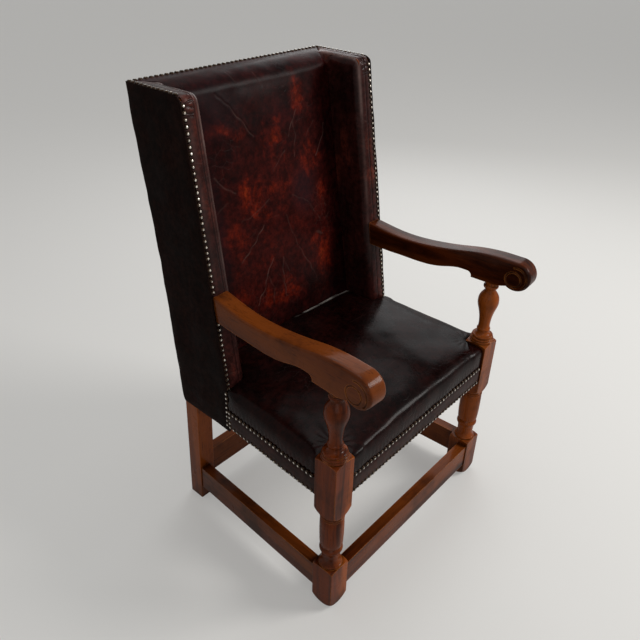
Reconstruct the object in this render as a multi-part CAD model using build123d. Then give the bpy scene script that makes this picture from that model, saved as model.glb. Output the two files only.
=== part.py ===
from build123d import *
import os
from math import asin, cos, degrees, hypot, pi, radians, sin, sqrt

# Library armchair: joined wooden frame, turned front legs, scrolled arms, leather seat, back and wings.
# While it is built, x runs to the sitter's left, y to the rear from the front legs' centre line, z up from the floor.

# Overall sizes
leg_spacing = 580          # across, between the front legs' centre lines
chair_height = 1091        # top of the leather
skirt_height = 331         # lower edge of the back and wing leather
skirt_rear = 485           # rear face at the skirt, behind the front legs
top_rear = 586             # rear face at the top
back_bow = 8               # how far the back's rear face bows forward of a straight rake
outside_half_skirt = 300   # half the width over the wings, at the skirt
outside_half_top = 286     # the same at the top

# Timber
leg_square = 58
leg_arris = 1.5
post_square = 46
post_arris = 2
post_sweep = 19            # how far the rear foot stands behind the skirt
foot_height = 42
foot_tip_radius = 14
foot_bulge_share = 0.2
seat_square_bulge_share = 0.12
low_square_top = 116
seat_square_bottom = 334
seat_square_top = 446
arm_underside = 631
leg_pin_radius = 12
leg_pin_length = 36
stretcher_thickness = 26
stretcher_low = 44
stretcher_high = 114
rear_stretcher_low = 77
rear_stretcher_high = 151
stretcher_setback = 3      # behind the outer faces of the legs
rear_stretcher_setback = 7
rail_thickness = 26
rail_low = 346
rail_high = 425
tenon_thickness = 9
tenon_length = 18
tenon_shoulder = 8
joint_fit = 0.15

# Leather, stuffing and their clearances
leather = 2.5
side_leather = 3
webbing_thickness = 1.5
webbing_width = 50
hessian_thickness = 1
soft_gap = 0.3
overrun = 5                # how far cutters pass what they cut

# Seat
seat_front_setback = 4     # leather face behind the legs' front faces
seat_side_setback = 3
seat_side_taper = 15       # how much narrower each side is at the wings
seat_edge_height = 447
seat_crown = 26
seat_rear_rise = 8
seat_edge_radius = 12
band_low = 343
band_high = 392

# Back pad
pad_foot_height = 452
pad_foot_y = 411
pad_top_y = 508
pad_bow_share = -0.16
pad_crown = 9
pad_roll_radius = 22
back_rail_thickness = 26
back_top_rail_drop = 13     # below the top of the leather
back_top_rail_width = 60
back_low_rail_low = 470
back_low_rail_high = 530
back_hessian_drop = 47      # below the top of the leather

# Wings
wing_front = 317           # front edge below the seat, behind the front legs
wing_knee_height = 430     # where the front edge starts to lean back
wing_top_front = 414
wing_corner_radius = 18
wing_thickness_top = 49
wing_thickness_skirt = 58
wing_frame_thickness = 36
wing_post_depth = 38
wing_rail_depth = 40
wing_pad_bottom = 436
piping_radius = 3
piping_proud = 1

# Arms
arm_width = 44
arm_overhang = 99          # scroll ahead of the front leg's centre line
arm_end_lap = 9            # how far its outline runs on past the wing's front, before it is cut
arm_rise = 74              # from the underside to the highest point
arm_inset_rear = 17        # each arm's centre line comes in this much towards the wing
arm_edge_radius = 6
scroll_radius = 37
eye_radius = 19
eye_drop = 8
groove_radius = 1.9
outer_groove_start = 75    # degrees round the scroll from the rear
outer_groove_turn = 150
full_turn = 360
arm_tenon_height = 34
arm_tenon_length = 22

# Nails and screws
nail_radius = 5.5
nail_dome = 3.2
nail_spacing = 12.9
nail_margin = 5.8          # from the edge to the nail's centre
screw_radius = 2.2
screw_head_radius = 4.2
screw_head_length = 3
screw_length = 52
corner_reach = 95
corner_block_inset = 8     # above and below, inside the rails
screw_height_shares = (0.33, 0.67)

# Derived
leg_x = leg_spacing / 2
leg_half = leg_square / 2
leg_corner_radius = leg_half * sqrt(2) + overrun
pad_height = chair_height - pad_foot_height
back_top_rail_high = chair_height - back_top_rail_drop
back_top_rail_low = back_top_rail_high - back_top_rail_width
back_hessian_top = chair_height - back_hessian_drop
back_height = chair_height - skirt_height
seat_face = seat_front_setback - leg_half
seat_half_front = leg_x + leg_half - seat_side_setback
taper_slope = seat_side_taper / (wing_front - leg_half)
piping_room = piping_radius * 2 - piping_proud + soft_gap
far = chair_height


# The back's rear face is an arc of one circle, from the skirt to the top
back_chord = hypot(top_rear - skirt_rear, back_height)
back_radius = (back_chord * back_chord / 4 + back_bow * back_bow) / (2 * back_bow)
back_centre_y = (skirt_rear + top_rear) / 2 + (back_radius - back_bow) * back_height / back_chord
back_centre_z = (skirt_height + chair_height) / 2 - (back_radius - back_bow) * (top_rear - skirt_rear) / back_chord


def back_line(z):
    """Rear face of the leather at a height."""
    rise = z - back_centre_z
    return back_centre_y - sqrt(back_radius * back_radius - rise * rise)


def pad_line(z):
    """Front face of the back pad at its side edges."""
    t = (z - pad_foot_height) / pad_height
    return pad_foot_y + (pad_top_y - pad_foot_y) * ((1 - pad_bow_share) * t + pad_bow_share * t * t)


def outside_half(z):
    """Half the width over the wings at a height."""
    t = (z - skirt_height) / back_height
    return outside_half_skirt + (outside_half_top - outside_half_skirt) * t


def inside_half(z):
    """Half the width between the wings at a height."""
    t = (z - skirt_height) / back_height
    return outside_half(z) - wing_thickness_skirt - (wing_thickness_top - wing_thickness_skirt) * t


def wing_line(z):
    """Front edge of the wing at a height."""
    lean = (wing_top_front - wing_front) / (chair_height - wing_knee_height)
    return wing_front + max(0, z - wing_knee_height) * lean


arm_reach = arm_overhang + wing_line(arm_underside) + arm_end_lap


def seat_half(y):
    """Half the width of the seat over its side leather."""
    return seat_half_front - taper_slope * max(0, y - leg_half)


def outline_face(plane, *lines):
    """A face on a plane, bounded by lines drawn in its own axes."""
    return make_face([edge for line in lines for edge in (plane * line).edges()])


def side_prism(*lines):
    """A side view outline carried right across the chair."""
    return extrude(outline_face(Plane.YZ, *lines), far, both=True)


def front_prism(*points):
    """A front view outline carried right through the chair."""
    return extrude(outline_face(Plane.XZ, Polyline(*points, close=True)), far, both=True)


def plan_prism(low, high, *points):
    """A plan outline raised between two heights."""
    return Pos(0, 0, low) * extrude(make_face(Polyline(*points, close=True)), high - low)


def block(x_low, x_high, y_low, y_high, z_low, z_high):
    """A box between two corners."""
    size = (x_high - x_low, y_high - y_low, z_high - z_low)
    middle = ((x_low + x_high) / 2, (y_low + y_high) / 2, (z_low + z_high) / 2)
    return Pos(*middle) * Box(*size)


def both_sides(shape):
    """The piece and its mirror image, named for the two sides."""
    return {"left": shape, "right": mirror(shape, Plane.YZ)}


def back_strip(front, rear, low, high):
    """Side view strip that follows the back, between two depths in front of its rear face."""
    middle = (low + high) / 2
    rear_edge = ThreePointArc(*((back_line(z) - rear, z) for z in (low, middle, high)))
    front_edge = ThreePointArc(*((back_line(z) - front, z) for z in (high, middle, low)))
    return side_prism(rear_edge, Line(rear_edge @ 1, front_edge @ 0), front_edge, Line(front_edge @ 1, rear_edge @ 0))


def bulge_arc(start, end, bulge_share):
    """A turned curve from one ring to the next, bulging outwards by a share of its length."""
    if bulge_share == 0:
        return Line(start, end)
    rise = end[1] - start[1]
    run = end[0] - start[0]
    middle = ((start[0] + end[0]) / 2 + rise * bulge_share, (start[1] + end[1]) / 2 - run * bulge_share)
    return ThreePointArc(start, middle, end)


# Front legs
# Each ring: share of the stage's height, share of half the square, outward bulge on the way to it
low_turning_shares = [
    (0.060, 0.965, 0.18), (0.060, 0.900, 0), (0.083, 0.885, 0.3), (0.096, 0.830, 0), (0.184, 0.738, -0.1),
    (0.243, 0.772, -0.04), (0.271, 0.828, 0), (0.330, 0.828, 0.22), (0.344, 0.760, 0), (0.372, 0.897, 0.1),
    (0.550, 0.948, 0.01), (0.748, 0.924, 0.01), (0.757, 0.883, 0), (0.780, 0.883, 0.4), (0.785, 0.883, 0),
    (0.807, 0.883, 0.4), (0.817, 0.862, 0), (0.826, 0.959, 0),
]
ring_turning_shares = [
    (0.050, 1.050, 0.12), (0.054, 0.966, 0), (0.081, 0.966, 0.4), (0.087, 0.931, 0), (0.119, 0.914, 0.35),
    (0.124, 0.862, 0), (0.157, 0.845, 0.3), (0.216, 0.517, -0.22), (0.222, 0.524, 0), (0.265, 0.524, 0.22),
    (0.276, 0.503, 0),
]
vase_shares = [(0.355, 0.500), (0.440, 0.560), (0.540, 0.705), (0.640, 0.880), (0.700, 0.897), (0.775, 0.775),
               (0.825, 0.560), (0.850, 0.455)]
capital_shares = [(0.870, 0.462, 0), (0.881, 0.517, 0), (0.941, 0.534, 0.3), (0.951, 0.552, 0), (1, 0.580, 0)]


def leg_stage(start, shares, low, high):
    """Edges of one turned stage, and where they end."""
    edges = []
    for height_share, radius_share, bulge_share in shares:
        end = (leg_half * radius_share, low + (high - low) * height_share)
        edges.append(bulge_arc(start, end, bulge_share))
        start = end
    return edges, start


def make_front_leg():
    foot = (leg_corner_radius, foot_height)
    edges = [Line((0, 0), (foot_tip_radius, 0)), bulge_arc((foot_tip_radius, 0), foot, foot_bulge_share)]
    low_corner = (leg_corner_radius, low_square_top - overrun / 2)
    edges.append(Line(foot, low_corner))
    stage, end = leg_stage(low_corner, low_turning_shares, low_square_top, seat_square_bottom)
    edges += stage
    seat_corner = (leg_corner_radius, seat_square_bottom)
    edges.append(bulge_arc(end, seat_corner, seat_square_bulge_share))
    top_corner = (leg_corner_radius, seat_square_top - overrun / 2)
    edges.append(Line(seat_corner, top_corner))
    stage, end = leg_stage(top_corner, ring_turning_shares, seat_square_top, arm_underside)
    edges += stage
    rise = arm_underside - seat_square_top
    vase = [(leg_half * radius, seat_square_top + rise * height) for height, radius in vase_shares]
    edges.append(Spline(end, *vase))
    stage, end = leg_stage(vase[-1], capital_shares, seat_square_top, arm_underside)
    edges += stage
    pin_top = arm_underside + leg_pin_length
    edges.append(Polyline(end, (leg_pin_radius, arm_underside), (leg_pin_radius, pin_top), (0, pin_top), (0, 0)))
    turned = revolve(outline_face(Plane.XZ, *edges), Axis.Z)
    stock = extrude(RectangleRounded(leg_square, leg_square, leg_arris), pin_top)
    return Pos(leg_x, 0, 0) * (turned & stock)


# Back posts, each one piece from the floor to the top
def make_post():
    lower_side = side_prism(Polyline(
        (skirt_rear + post_sweep, 0), (skirt_rear, skirt_height), (skirt_rear - post_square, skirt_height),
        (skirt_rear + post_sweep - post_square, 0), close=True))
    lower = lower_side & block(outside_half_skirt - post_square, outside_half_skirt, 0, far, 0, skirt_height)
    lower = fillet([e for e in lower.edges() if e.length > post_square * 2], post_arris)
    top = chair_height - leather - soft_gap
    slope = [(outside_half(z) - side_leather, z) for z in (skirt_height, top)]
    inner = [(outside_half(z) - post_square, z) for z in (top, skirt_height)]
    upper = back_strip(post_square, leather, skirt_height, top) & front_prism(*slope, *inner)
    return lower + upper


def seat_cutter(grow):
    """Room for the front legs' squares in the seat, on both sides."""
    half = leg_half + grow
    right = block(leg_x - half, leg_x + half, -half, half, 0, far)
    return [right, mirror(right, Plane.YZ)]


# Rails and stretchers: a body between shoulders, and a tenon at each end
def tenon_x(y, z_low, z_high, x_inner, grow):
    """Tenon that runs across the chair, into both legs of a pair."""
    half = tenon_thickness / 2 + grow
    reach = x_inner + tenon_length + grow
    return block(-reach, reach, y - half, y + half, z_low + tenon_shoulder - grow, z_high - tenon_shoulder + grow)


def tenon_y(x, y_low, y_high, z_low, z_high, grow):
    """Tenon that runs front to back."""
    half = tenon_thickness / 2 + grow
    z_range = (z_low + tenon_shoulder - grow, z_high - tenon_shoulder + grow)
    return block(x - half, x + half, y_low - tenon_length - grow, y_high + tenon_length + grow, *z_range)


leg_inner = leg_x - leg_half
post_inner = outside_half_skirt - post_square


def post_front(z):
    """Front face of the back post below the skirt."""
    return skirt_rear - post_square + post_sweep * max(0, skirt_height - z) / skirt_height


def cross_rail(y_face, thickness, z_low, z_high, x_inner, grow=0):
    """A rail across the chair behind a face, with its tenons; with grow, only the tenons' mortises."""
    tenon = tenon_x(y_face + thickness / 2, z_low, z_high, x_inner, grow)
    if grow:
        return tenon
    return block(-x_inner, x_inner, y_face, y_face + thickness, z_low, z_high) + tenon


def side_rail(half_front, half_rear, thickness, z_low, z_high, grow=0):
    """A rail from a front leg to a back post along tapering sides, with its tenons."""
    y_rear = post_front((z_low + z_high) / 2)
    run = y_rear + post_square / 2 - leg_half
    slope = (half_rear - half_front) / (y_rear - leg_half)
    y_end = leg_half + run
    tenon_front = tenon_y(half_front - thickness / 2, leg_half, leg_half, z_low, z_high, grow)
    tenon_rear = tenon_y(half_rear - thickness / 2, y_rear, y_rear, z_low, z_high, grow)
    if grow:
        return [tenon_front, tenon_rear]
    plan = [(half_front, leg_half), (half_front + slope * run, y_end), (half_front + slope * run - thickness, y_end),
            (half_front - thickness, leg_half)]
    return plan_prism(z_low, z_high, *plan) - post_blank + [tenon_front, tenon_rear]


post_blank = make_post()
front_rail_face = seat_face + leather + soft_gap
side_rail_front = seat_half_front - leather - soft_gap
rear_rail_face = post_front(rail_low) + (back_line(rail_high) - back_line(skirt_height)) + tenon_shoulder / 2
rail_rear_y = post_front(rail_low)
wing_cover_inner = outside_half(rail_high) - side_leather - soft_gap
side_rail_slope = (wing_cover_inner - side_rail_front) / (wing_front - leg_half)
side_rail_rear = side_rail_front + side_rail_slope * (rail_rear_y - leg_half)
stretcher_face = stretcher_setback - leg_half
side_stretcher_front = leg_x + leg_half - stretcher_setback
side_stretcher_rear = outside_half_skirt - stretcher_setback
rear_stretcher_face = post_front(rear_stretcher_high) + rear_stretcher_setback

cross_rails = {
    "front_stretcher": (stretcher_face, stretcher_thickness, stretcher_low, stretcher_high, leg_inner),
    "rear_stretcher": (rear_stretcher_face, stretcher_thickness, rear_stretcher_low, rear_stretcher_high, post_inner),
    "front_seat_rail": (front_rail_face, rail_thickness, rail_low, rail_high, leg_inner),
    "rear_seat_rail": (rear_rail_face, rail_thickness, rail_low, rail_high, post_inner),
}
side_rails = {
    "stretcher": (side_stretcher_front, side_stretcher_rear, stretcher_thickness, stretcher_low, stretcher_high),
    "seat_rail": (side_rail_front, side_rail_rear, rail_thickness, rail_low, rail_high),
}


def make_corner_block(x_corner, y_corner, toward_y, neighbours):
    """Triangular block in a corner of the seat frame, cut round what stands there."""
    low = rail_low + corner_block_inset
    high = rail_high - corner_block_inset
    corner = (x_corner, y_corner)
    plan = [corner, (x_corner - corner_reach, y_corner), (x_corner, y_corner + toward_y * corner_reach)]
    piece = plan_prism(low, high, *plan)
    for neighbour in neighbours:
        piece = piece - neighbour
    return max(piece.solids(), key=lambda s: s.volume)


def make_screw(radius_gap=0):
    """Countersunk screw lying along +X from its head."""
    shank = screw_radius + radius_gap
    head = screw_head_radius + radius_gap
    points = [(0, 0), (0, head), (screw_head_length, shank), (screw_length - shank + radius_gap, shank),
              (screw_length + radius_gap, 0)]
    return revolve(make_face(Polyline(*points, close=True)), Axis.X)


def corner_screw_places(x_corner, y_corner, toward_y):
    """Where the two screws of a corner block start, on its long face, and where they point."""
    middle = (x_corner - corner_reach / 2, y_corner + toward_y * corner_reach / 2)
    height = rail_high - rail_low
    places = []
    for share in screw_height_shares:
        plane = Plane(origin=(*middle, rail_low + height * share), x_dir=(1, -toward_y, 0), z_dir=(0, 0, 1))
        places.append(plane.location)
    return places


# Back frame
def back_rail(low, high, grow=0):
    """Rail between the back posts, following their curve, with tenons."""
    front = post_square
    middle = front - back_rail_thickness / 2
    half = tenon_thickness / 2 + grow
    reach = outside_half(high) - post_square + tenon_length + grow
    tenon = back_strip(middle + half, middle - half, low + tenon_shoulder - grow, high - tenon_shoulder + grow)
    tenon = tenon & block(-reach, reach, 0, far, 0, far)
    if grow:
        return tenon
    body = back_strip(front, front - back_rail_thickness, low, high)
    edge = [(outside_half(low) - post_square, low), (outside_half(high) - post_square, high)]
    body = body & front_prism(*edge, *[(-x, z) for x, z in reversed(edge)])
    return body + tenon


# Wing frame and covers, built on the left and mirrored
def wing_outline(inset, low):
    """Side view of the wing, drawn in from its front and top edges."""
    top = chair_height - inset
    front = [(wing_line(z) + inset, z) for z in (low, max(low, wing_knee_height), top)]
    if low >= wing_knee_height:
        front = front[1:]
    rear = ThreePointArc(*((back_line(z), z) for z in (top, (top + low) / 2, low)))
    outline = FilletPolyline(*front, rear @ 0, radius=[0] * (len(front) - 2) + [wing_corner_radius - inset])
    return side_prism(outline, rear, Line(rear @ 1, front[0]))


def between(outer, inner, low=skirt_height, high=chair_height):
    """Front view strip on the left side, between two half widths that change with height."""
    return front_prism((outer(low), low), (outer(high), high), (inner(high), high), (inner(low), low))


def frame_outer(z):
    return outside_half(z) - side_leather


def frame_inner(z):
    return frame_outer(z) - wing_frame_thickness


def skin_inner(z):
    return inside_half(z) + leather


def piping_outer(z):
    return inside_half(z) + piping_room


def ahead_of_webbing(gap):
    """Everything in front of the back's webbing and hessian."""
    depth = post_square + 2 * webbing_thickness + hessian_thickness + gap
    return back_strip(far, depth, skirt_height, chair_height)


mitre_inner = inside_half(chair_height)
mitre_slope = (outside_half_top - mitre_inner) / (top_rear - pad_top_y)


def mitre_prism(gap, low, high):
    """Plan of the back's rolled top, whose ends run diagonally to the rear corners."""
    y_end = top_rear + overrun
    x_front = mitre_inner - gap
    x_end = x_front + mitre_slope * (y_end - pad_top_y)
    return plan_prism(low, high, (-x_front, pad_top_y), (x_front, pad_top_y), (x_end, y_end), (-x_end, y_end))


def make_wing():
    """Every wing piece on the left side, by name."""
    pieces = {}
    rail_top = chair_height - leather - soft_gap
    # Timber: a front post on the side rail, and a top rail back to the back post
    front_zone = wing_outline(leather + soft_gap, skirt_height) - Pos(0, wing_post_depth, 0) * wing_outline(
        leather + soft_gap, skirt_height)
    slab = between(frame_outer, frame_inner)
    above_rail = block(-far, far, -far, far, rail_high, far)
    post = front_zone & slab & above_rail & wing_outline(leather + soft_gap, skirt_height)
    pieces["wing_post"] = max(post.solids(), key=lambda s: s.volume)
    top_zone = block(-far, far, -far, far, rail_top - wing_rail_depth, rail_top)
    top_rail = wing_outline(leather + soft_gap, skirt_height) & slab & top_zone
    top_rail = top_rail & back_strip(far, post_square + joint_fit, skirt_height, chair_height)
    top_rail = top_rail - pieces["wing_post"]
    pieces["wing_top_rail"] = max(top_rail.solids(), key=lambda s: s.volume)
    # Stuffing between the frame and the inside leather
    core = between(lambda z: frame_inner(z) - soft_gap, lambda z: skin_inner(z) + soft_gap)
    ahead = ahead_of_webbing(soft_gap)
    above_seat = block(-far, far, -far, far, wing_pad_bottom, far)
    pieces["wing_stuffing"] = wing_outline(piping_room + soft_gap, skirt_height) & core & ahead & above_seat
    # Inside leather, and the top strip as far as the outer leather and the mitre
    face = between(skin_inner, inside_half) & wing_outline(piping_room, skirt_height) & ahead & above_seat
    rim = wing_outline(0, skirt_height) - wing_outline(leather, skirt_height)
    lid_low = chair_height - wing_corner_radius
    lid_start = wing_top_front + wing_corner_radius
    lid = rim & between(frame_outer, piping_outer) & block(-far, far, lid_start, far, lid_low, far)
    lid = lid - mitre_prism(0, lid_low, far)
    lid = max(lid.solids(), key=lambda s: s.volume)
    pieces["inside_wing_leather"] = face
    pieces["wing_top_leather"] = lid
    # Front band round the front edge and over the corner, with a slot for the arm's tenon
    front_part = block(-far, far, 0, lid_start - soft_gap, wing_pad_bottom, far)
    band = rim & between(frame_outer, piping_outer) & front_part
    pieces["wing_front_band"] = max(band.solids(), key=lambda s: s.volume)
    # Outside leather, flat from the skirt to the top
    pieces["outside_wing_leather"] = between(outside_half, frame_outer) & wing_outline(0, skirt_height)
    pieces["wing_piping"] = make_piping()
    return pieces


def make_piping():
    """Corded welt up the inner front corner of the wing and along the inner edge of its top."""
    low = seat_edge_height + seat_rear_rise + piping_radius
    run = chair_height - skirt_height
    inset = piping_radius - piping_proud
    foot_x = inside_half(skirt_height) + inset
    lean = inside_half(skirt_height) - inside_half(chair_height)
    plane = Plane(origin=(foot_x, 0, skirt_height), x_dir=(0, 1, 0), z_dir=(run, 0, lean))
    stretch = hypot(run, lean) / run
    points = [(wing_line(low) + inset, low), (wing_top_front + inset, chair_height - inset),
              (pad_top_y - piping_radius, chair_height - inset)]
    local = [(y, (z - skirt_height) * stretch) for y, z in points]
    path = plane * FilletPolyline(*local, radius=wing_corner_radius - inset)
    start = Plane(origin=path @ 0, z_dir=path % 0)
    return sweep(start * Circle(piping_radius), path=path)


# Soft crowned pads
# Where their sections stand, as shares of the half width
pad_width_shares = [-1, -0.7, -0.35, 0, 0.35, 0.7, 1]


def seat_section(x_share, inset, bottom, end_y):
    """Side view section of the seat at a share of its half width: a crowned top over straight ends."""
    start_y = seat_face + inset
    top = []
    for depth_share, crown_share in seat_crown_shares:
        crown = seat_crown * crown_share * (1 - x_share * x_share)
        z = seat_edge_height - inset + seat_rear_rise * depth_share + crown
        top.append((start_y + (end_y - start_y) * depth_share, z))
    rest = Polyline(top[-1], (end_y, bottom), (start_y, bottom), top[0])
    wire = Wire((Spline(*top) + rest).edges())
    return Pos(x_share * seat_half_front, 0, 0) * (Plane.YZ * wire)


# Share of the seat's depth, share of its crown
seat_crown_shares = [(0, 0.3), (0.2, 0.72), (0.45, 1), (0.72, 0.9), (1, 0.5)]


def seat_form(inset, bottom, end_y):
    """The seat's crowned solid, tapered to the rear, its front and side edges softly rounded."""
    form = Solid.make_loft([seat_section(x_share, inset, bottom, end_y) for x_share in pad_width_shares])
    front = seat_face + inset
    half_front = seat_half(leg_half) - inset
    half_end = seat_half(end_y) - inset
    plan = [(half_front, front), (half_front, leg_half), (half_end, end_y)]
    form = form & plan_prism(bottom, far, *plan, *[(-x, y) for x, y in reversed(plan)])
    soft_edges = [e for e in form.edges() if is_seat_rim(e, front, end_y)]
    return fillet(soft_edges, seat_edge_radius - inset)


def is_seat_rim(edge, front, end_y):
    """Top edges of the seat, along its front and sides."""
    middle = edge @ 0.5
    level = abs((edge @ 0).Z - (edge @ 1).Z) < leather * 5
    return level and middle.Z > rail_high + overrun and middle.Y < end_y - overrun


def wing_cutter(gap):
    """Room for both wings in the seat."""
    side = wing_outline(-gap, rail_high - overrun)
    side = side & between(lambda z: far, lambda z: inside_half(z) - gap, rail_high - overrun, far)
    return [side, mirror(side, Plane.YZ)]


def make_seat():
    """Seat leather and seat stuffing."""
    end_y = rear_rail_face
    skirt_low = band_high + soft_gap
    outer = seat_form(0, skirt_low, end_y)
    inner = seat_form(leather, skirt_low - overrun, end_y + overrun)
    cutters = seat_cutter(soft_gap) + wing_cutter(soft_gap) + [pad_form(-soft_gap, soft_gap)]
    cover = outer - inner
    stuffing_bottom = rail_high + 2 * webbing_thickness + hessian_thickness + soft_gap
    stuffing = seat_form(leather + soft_gap, stuffing_bottom, end_y)
    for cutter in cutters:
        cover = cover - cutter
        stuffing = stuffing - cutter
    return max(cover.solids(), key=lambda s: s.volume), max(stuffing.solids(), key=lambda s: s.volume)


def seat_bands():
    """Lower leather of the seat rails, between the two rows of nails."""
    gap = soft_gap
    front = block(-leg_inner + gap, leg_inner - gap, seat_face, seat_face + leather, band_low, band_high)
    y_low = leg_half + gap
    y_high = wing_front - gap
    plan = [(seat_half(y_low), y_low), (seat_half(y_high), y_high), (seat_half(y_high) - leather, y_high),
            (seat_half(y_low) - leather, y_low)]
    return front, plan_prism(band_low, band_high, *plan)


pad_height_shares = [0, 0.25, 0.5, 0.75, 1]


def pad_section(x_share, skin, rear_open):
    """Side view section of the back pad: bowed front, rolled top, straight rear."""
    half = outside_half(pad_foot_height)
    top = chair_height - skin
    radius = pad_roll_radius - skin
    low = pad_foot_height - rear_open
    front = []
    for share in pad_height_shares:
        z = pad_foot_height + (top - radius - pad_foot_height) * share
        crown = pad_crown * (1 - x_share * x_share) * 4 * share * (1 - share)
        front.append((pad_line(z) + skin - crown, z))
    lead = front[-1]
    corner = ThreePointArc(lead, (lead[0] + radius * (1 - cos(pi / 4)), lead[1] + radius * sin(pi / 4)),
                           (lead[0] + radius, lead[1] + radius))
    rear_y = back_line(chair_height) + rear_open
    foot = [(front[0][0], low)] if rear_open else []
    rest = Polyline(corner @ 1, (rear_y, top), (rear_y, low), *foot, front[0])
    wire = Wire((Spline(*front) + corner + rest).edges())
    return Pos(x_share * half, 0, 0) * (Plane.YZ * wire)


def pad_form(skin, rear_open):
    return Solid.make_loft([pad_section(s, skin, rear_open) for s in pad_width_shares])


def make_back_covers():
    """Inside back leather with its rolled top, and the stuffing behind it."""
    top = chair_height
    low = pad_foot_height
    edge = [(inside_half(low) - soft_gap, low), (inside_half(top) - soft_gap, top)]
    low_edge = (inside_half(low) - soft_gap, low - overrun)
    between_wings = front_prism(low_edge, *edge, *[(-x, z) for x, z in reversed([low_edge] + edge)])
    in_front = back_strip(far, 0, skirt_height, chair_height)
    skin = (pad_form(0, 0) - pad_form(leather, overrun)) & in_front
    roll = skin & mitre_prism(soft_gap, top - leather, top)
    inside = (skin & between_wings) + roll
    inside = max(inside.solids(), key=lambda s: s.volume)
    core_gap = leather + soft_gap
    frame_zone = back_strip(post_square + 2 * webbing_thickness + hessian_thickness + soft_gap, -overrun,
                            skirt_height, back_top_rail_high + soft_gap)
    stuffing = pad_form(core_gap, 0) & between_wings & back_strip(far, leather + soft_gap, skirt_height, top)
    stuffing = stuffing - frame_zone
    return inside, max(stuffing.solids(), key=lambda s: s.volume)


# Webbing
def seat_webbing():
    """Strips across the seat, then strips front to back over them."""
    pieces = []
    z = rail_high
    across = 4
    along = 5
    y_first = leg_half + webbing_width / 2 + overrun
    y_step = (rear_rail_face - webbing_width - y_first) / (across - 1)
    for i in range(across):
        y = y_first + y_step * i
        half = seat_half(y) - leather - rail_thickness / 2
        pieces.append(block(-half, half, y - webbing_width / 2, y + webbing_width / 2, z, z + webbing_thickness))
    z = z + webbing_thickness
    x_step = (leg_inner - webbing_width) * 2 / along
    y_ends = (front_rail_face + rail_thickness / 2, rear_rail_face + rail_thickness / 2)
    for i in range(along):
        x = x_step * (i - (along - 1) / 2)
        pieces.append(block(x - webbing_width / 2, x + webbing_width / 2, *y_ends, z, z + webbing_thickness))
    hessian_half = seat_half(wing_front) - leather - rail_thickness - soft_gap
    z = z + webbing_thickness
    hessian = block(-hessian_half, hessian_half, *y_ends, z, z + hessian_thickness)
    for cutter in seat_cutter(soft_gap) + wing_cutter(soft_gap):
        hessian = hessian - cutter
    return pieces, hessian


def back_webbing():
    """Upright strips on the back rails, then strips across over them, and the hessian."""
    pieces = []
    along = 5
    across = 5
    low = back_low_rail_low + tenon_shoulder
    high = back_hessian_top
    reach = inside_half(high)
    x_step = (reach * 2 - webbing_width) / along
    upright = back_strip(post_square + webbing_thickness, post_square, low, high)
    for i in range(along):
        x = x_step * (i - (along - 1) / 2)
        pieces.append(upright & block(x - webbing_width / 2, x + webbing_width / 2, 0, far, 0, far))
    sheet = (post_square + 2 * webbing_thickness, post_square + webbing_thickness)
    z_step = (high - low - webbing_width) / (across - 1)
    for i in range(across):
        z = low + z_step * i
        pieces.append(back_strip(*sheet, z, z + webbing_width) & block(-reach, reach, 0, far, 0, far))
    front = post_square + 2 * webbing_thickness
    hessian = back_strip(front + hessian_thickness, front, low, high) & block(-reach, reach, 0, far, 0, far)
    return pieces, hessian


# Arms
arm_top_shares = [(1, 0.710), (0.802, 0.560), (0.670, 0.565), (0.543, 0.648), (0.424, 0.775), (0.313, 0.915),
                  (0.205, 0.990)]
arm_under_shares = [(0.390, 0.190), (0.510, 0.010), (0.635, -0.095), (0.775, -0.095), (1, -0.070)]
arm_post_rear_share = 0.323
arm_cove_share = 0.352
arm_post_front_share = 0.176
arm_cove_bulge_share = -0.25
arm_top_slope_share = -0.13      # how the top and the underside run where they meet the wing
arm_under_slope_share = 0.05
quirk_angle = -54                # degrees from the rear, where the scroll meets the nose


def arm_point(y_share, z_share):
    return (arm_reach * y_share - arm_overhang, arm_underside + arm_rise * z_share)


def make_arm():
    """Scrolled arm, cut to the wing's leaning front, with a tenon into the wing post."""
    scroll_y = scroll_radius - arm_overhang
    scroll_z = arm_underside + arm_rise - scroll_radius
    crest = (scroll_y, scroll_z + scroll_radius)
    quirk = (scroll_y + scroll_radius * cos(radians(quirk_angle)), scroll_z + scroll_radius * sin(radians(quirk_angle)))
    top = Spline(*[arm_point(*s) for s in arm_top_shares], crest, tangents=[(-1, arm_top_slope_share), (-1, 0)])
    scroll = ThreePointArc(crest, (scroll_y - scroll_radius, scroll_z), quirk)
    post_front_point = arm_point(arm_post_front_share, 0)
    post_rear_point = arm_point(arm_post_rear_share, 0)
    cove_end = arm_point(arm_cove_share, arm_under_shares[0][1])
    nose = Line(quirk, post_front_point)
    flat = Line(post_front_point, post_rear_point)
    cove = bulge_arc(post_rear_point, cove_end, arm_cove_bulge_share)
    under = Spline(cove_end, *[arm_point(*s) for s in arm_under_shares], tangents=[(1, 0), (1, arm_under_slope_share)])
    end = Line(under @ 1, top @ 0)
    outline = outline_face(Plane.YZ, top, scroll, nose, flat, cove, under, end)
    body = extrude(outline, arm_width / 2, both=True)
    crown_edges = [e for e in body.edges() if is_crown_edge(e)]
    body = fillet(crown_edges, arm_edge_radius)
    for side in (-1, 1):
        for groove in volute_grooves(side, scroll_y, scroll_z):
            body = body - groove
    return body


def is_crown_edge(edge):
    """Long edges of the arm's top and scroll, on its two faces."""
    middle = edge @ 0.5
    on_face = abs(abs(middle.X) - arm_width / 2) < leather and abs((edge @ 0).X - (edge @ 1).X) < leather
    return on_face and middle.Z > arm_underside + arm_rise / 3 and edge.length > arm_width


def round_groove(middle, radius, start, turn):
    """Round-bottomed groove carried round an axis, from a start angle through a turn."""
    profile = Pos(radius, 0, 0) * (Plane.XZ * Circle(groove_radius))
    return middle * Rot(0, 0, start) * revolve(profile, Axis.Z, turn)


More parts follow.
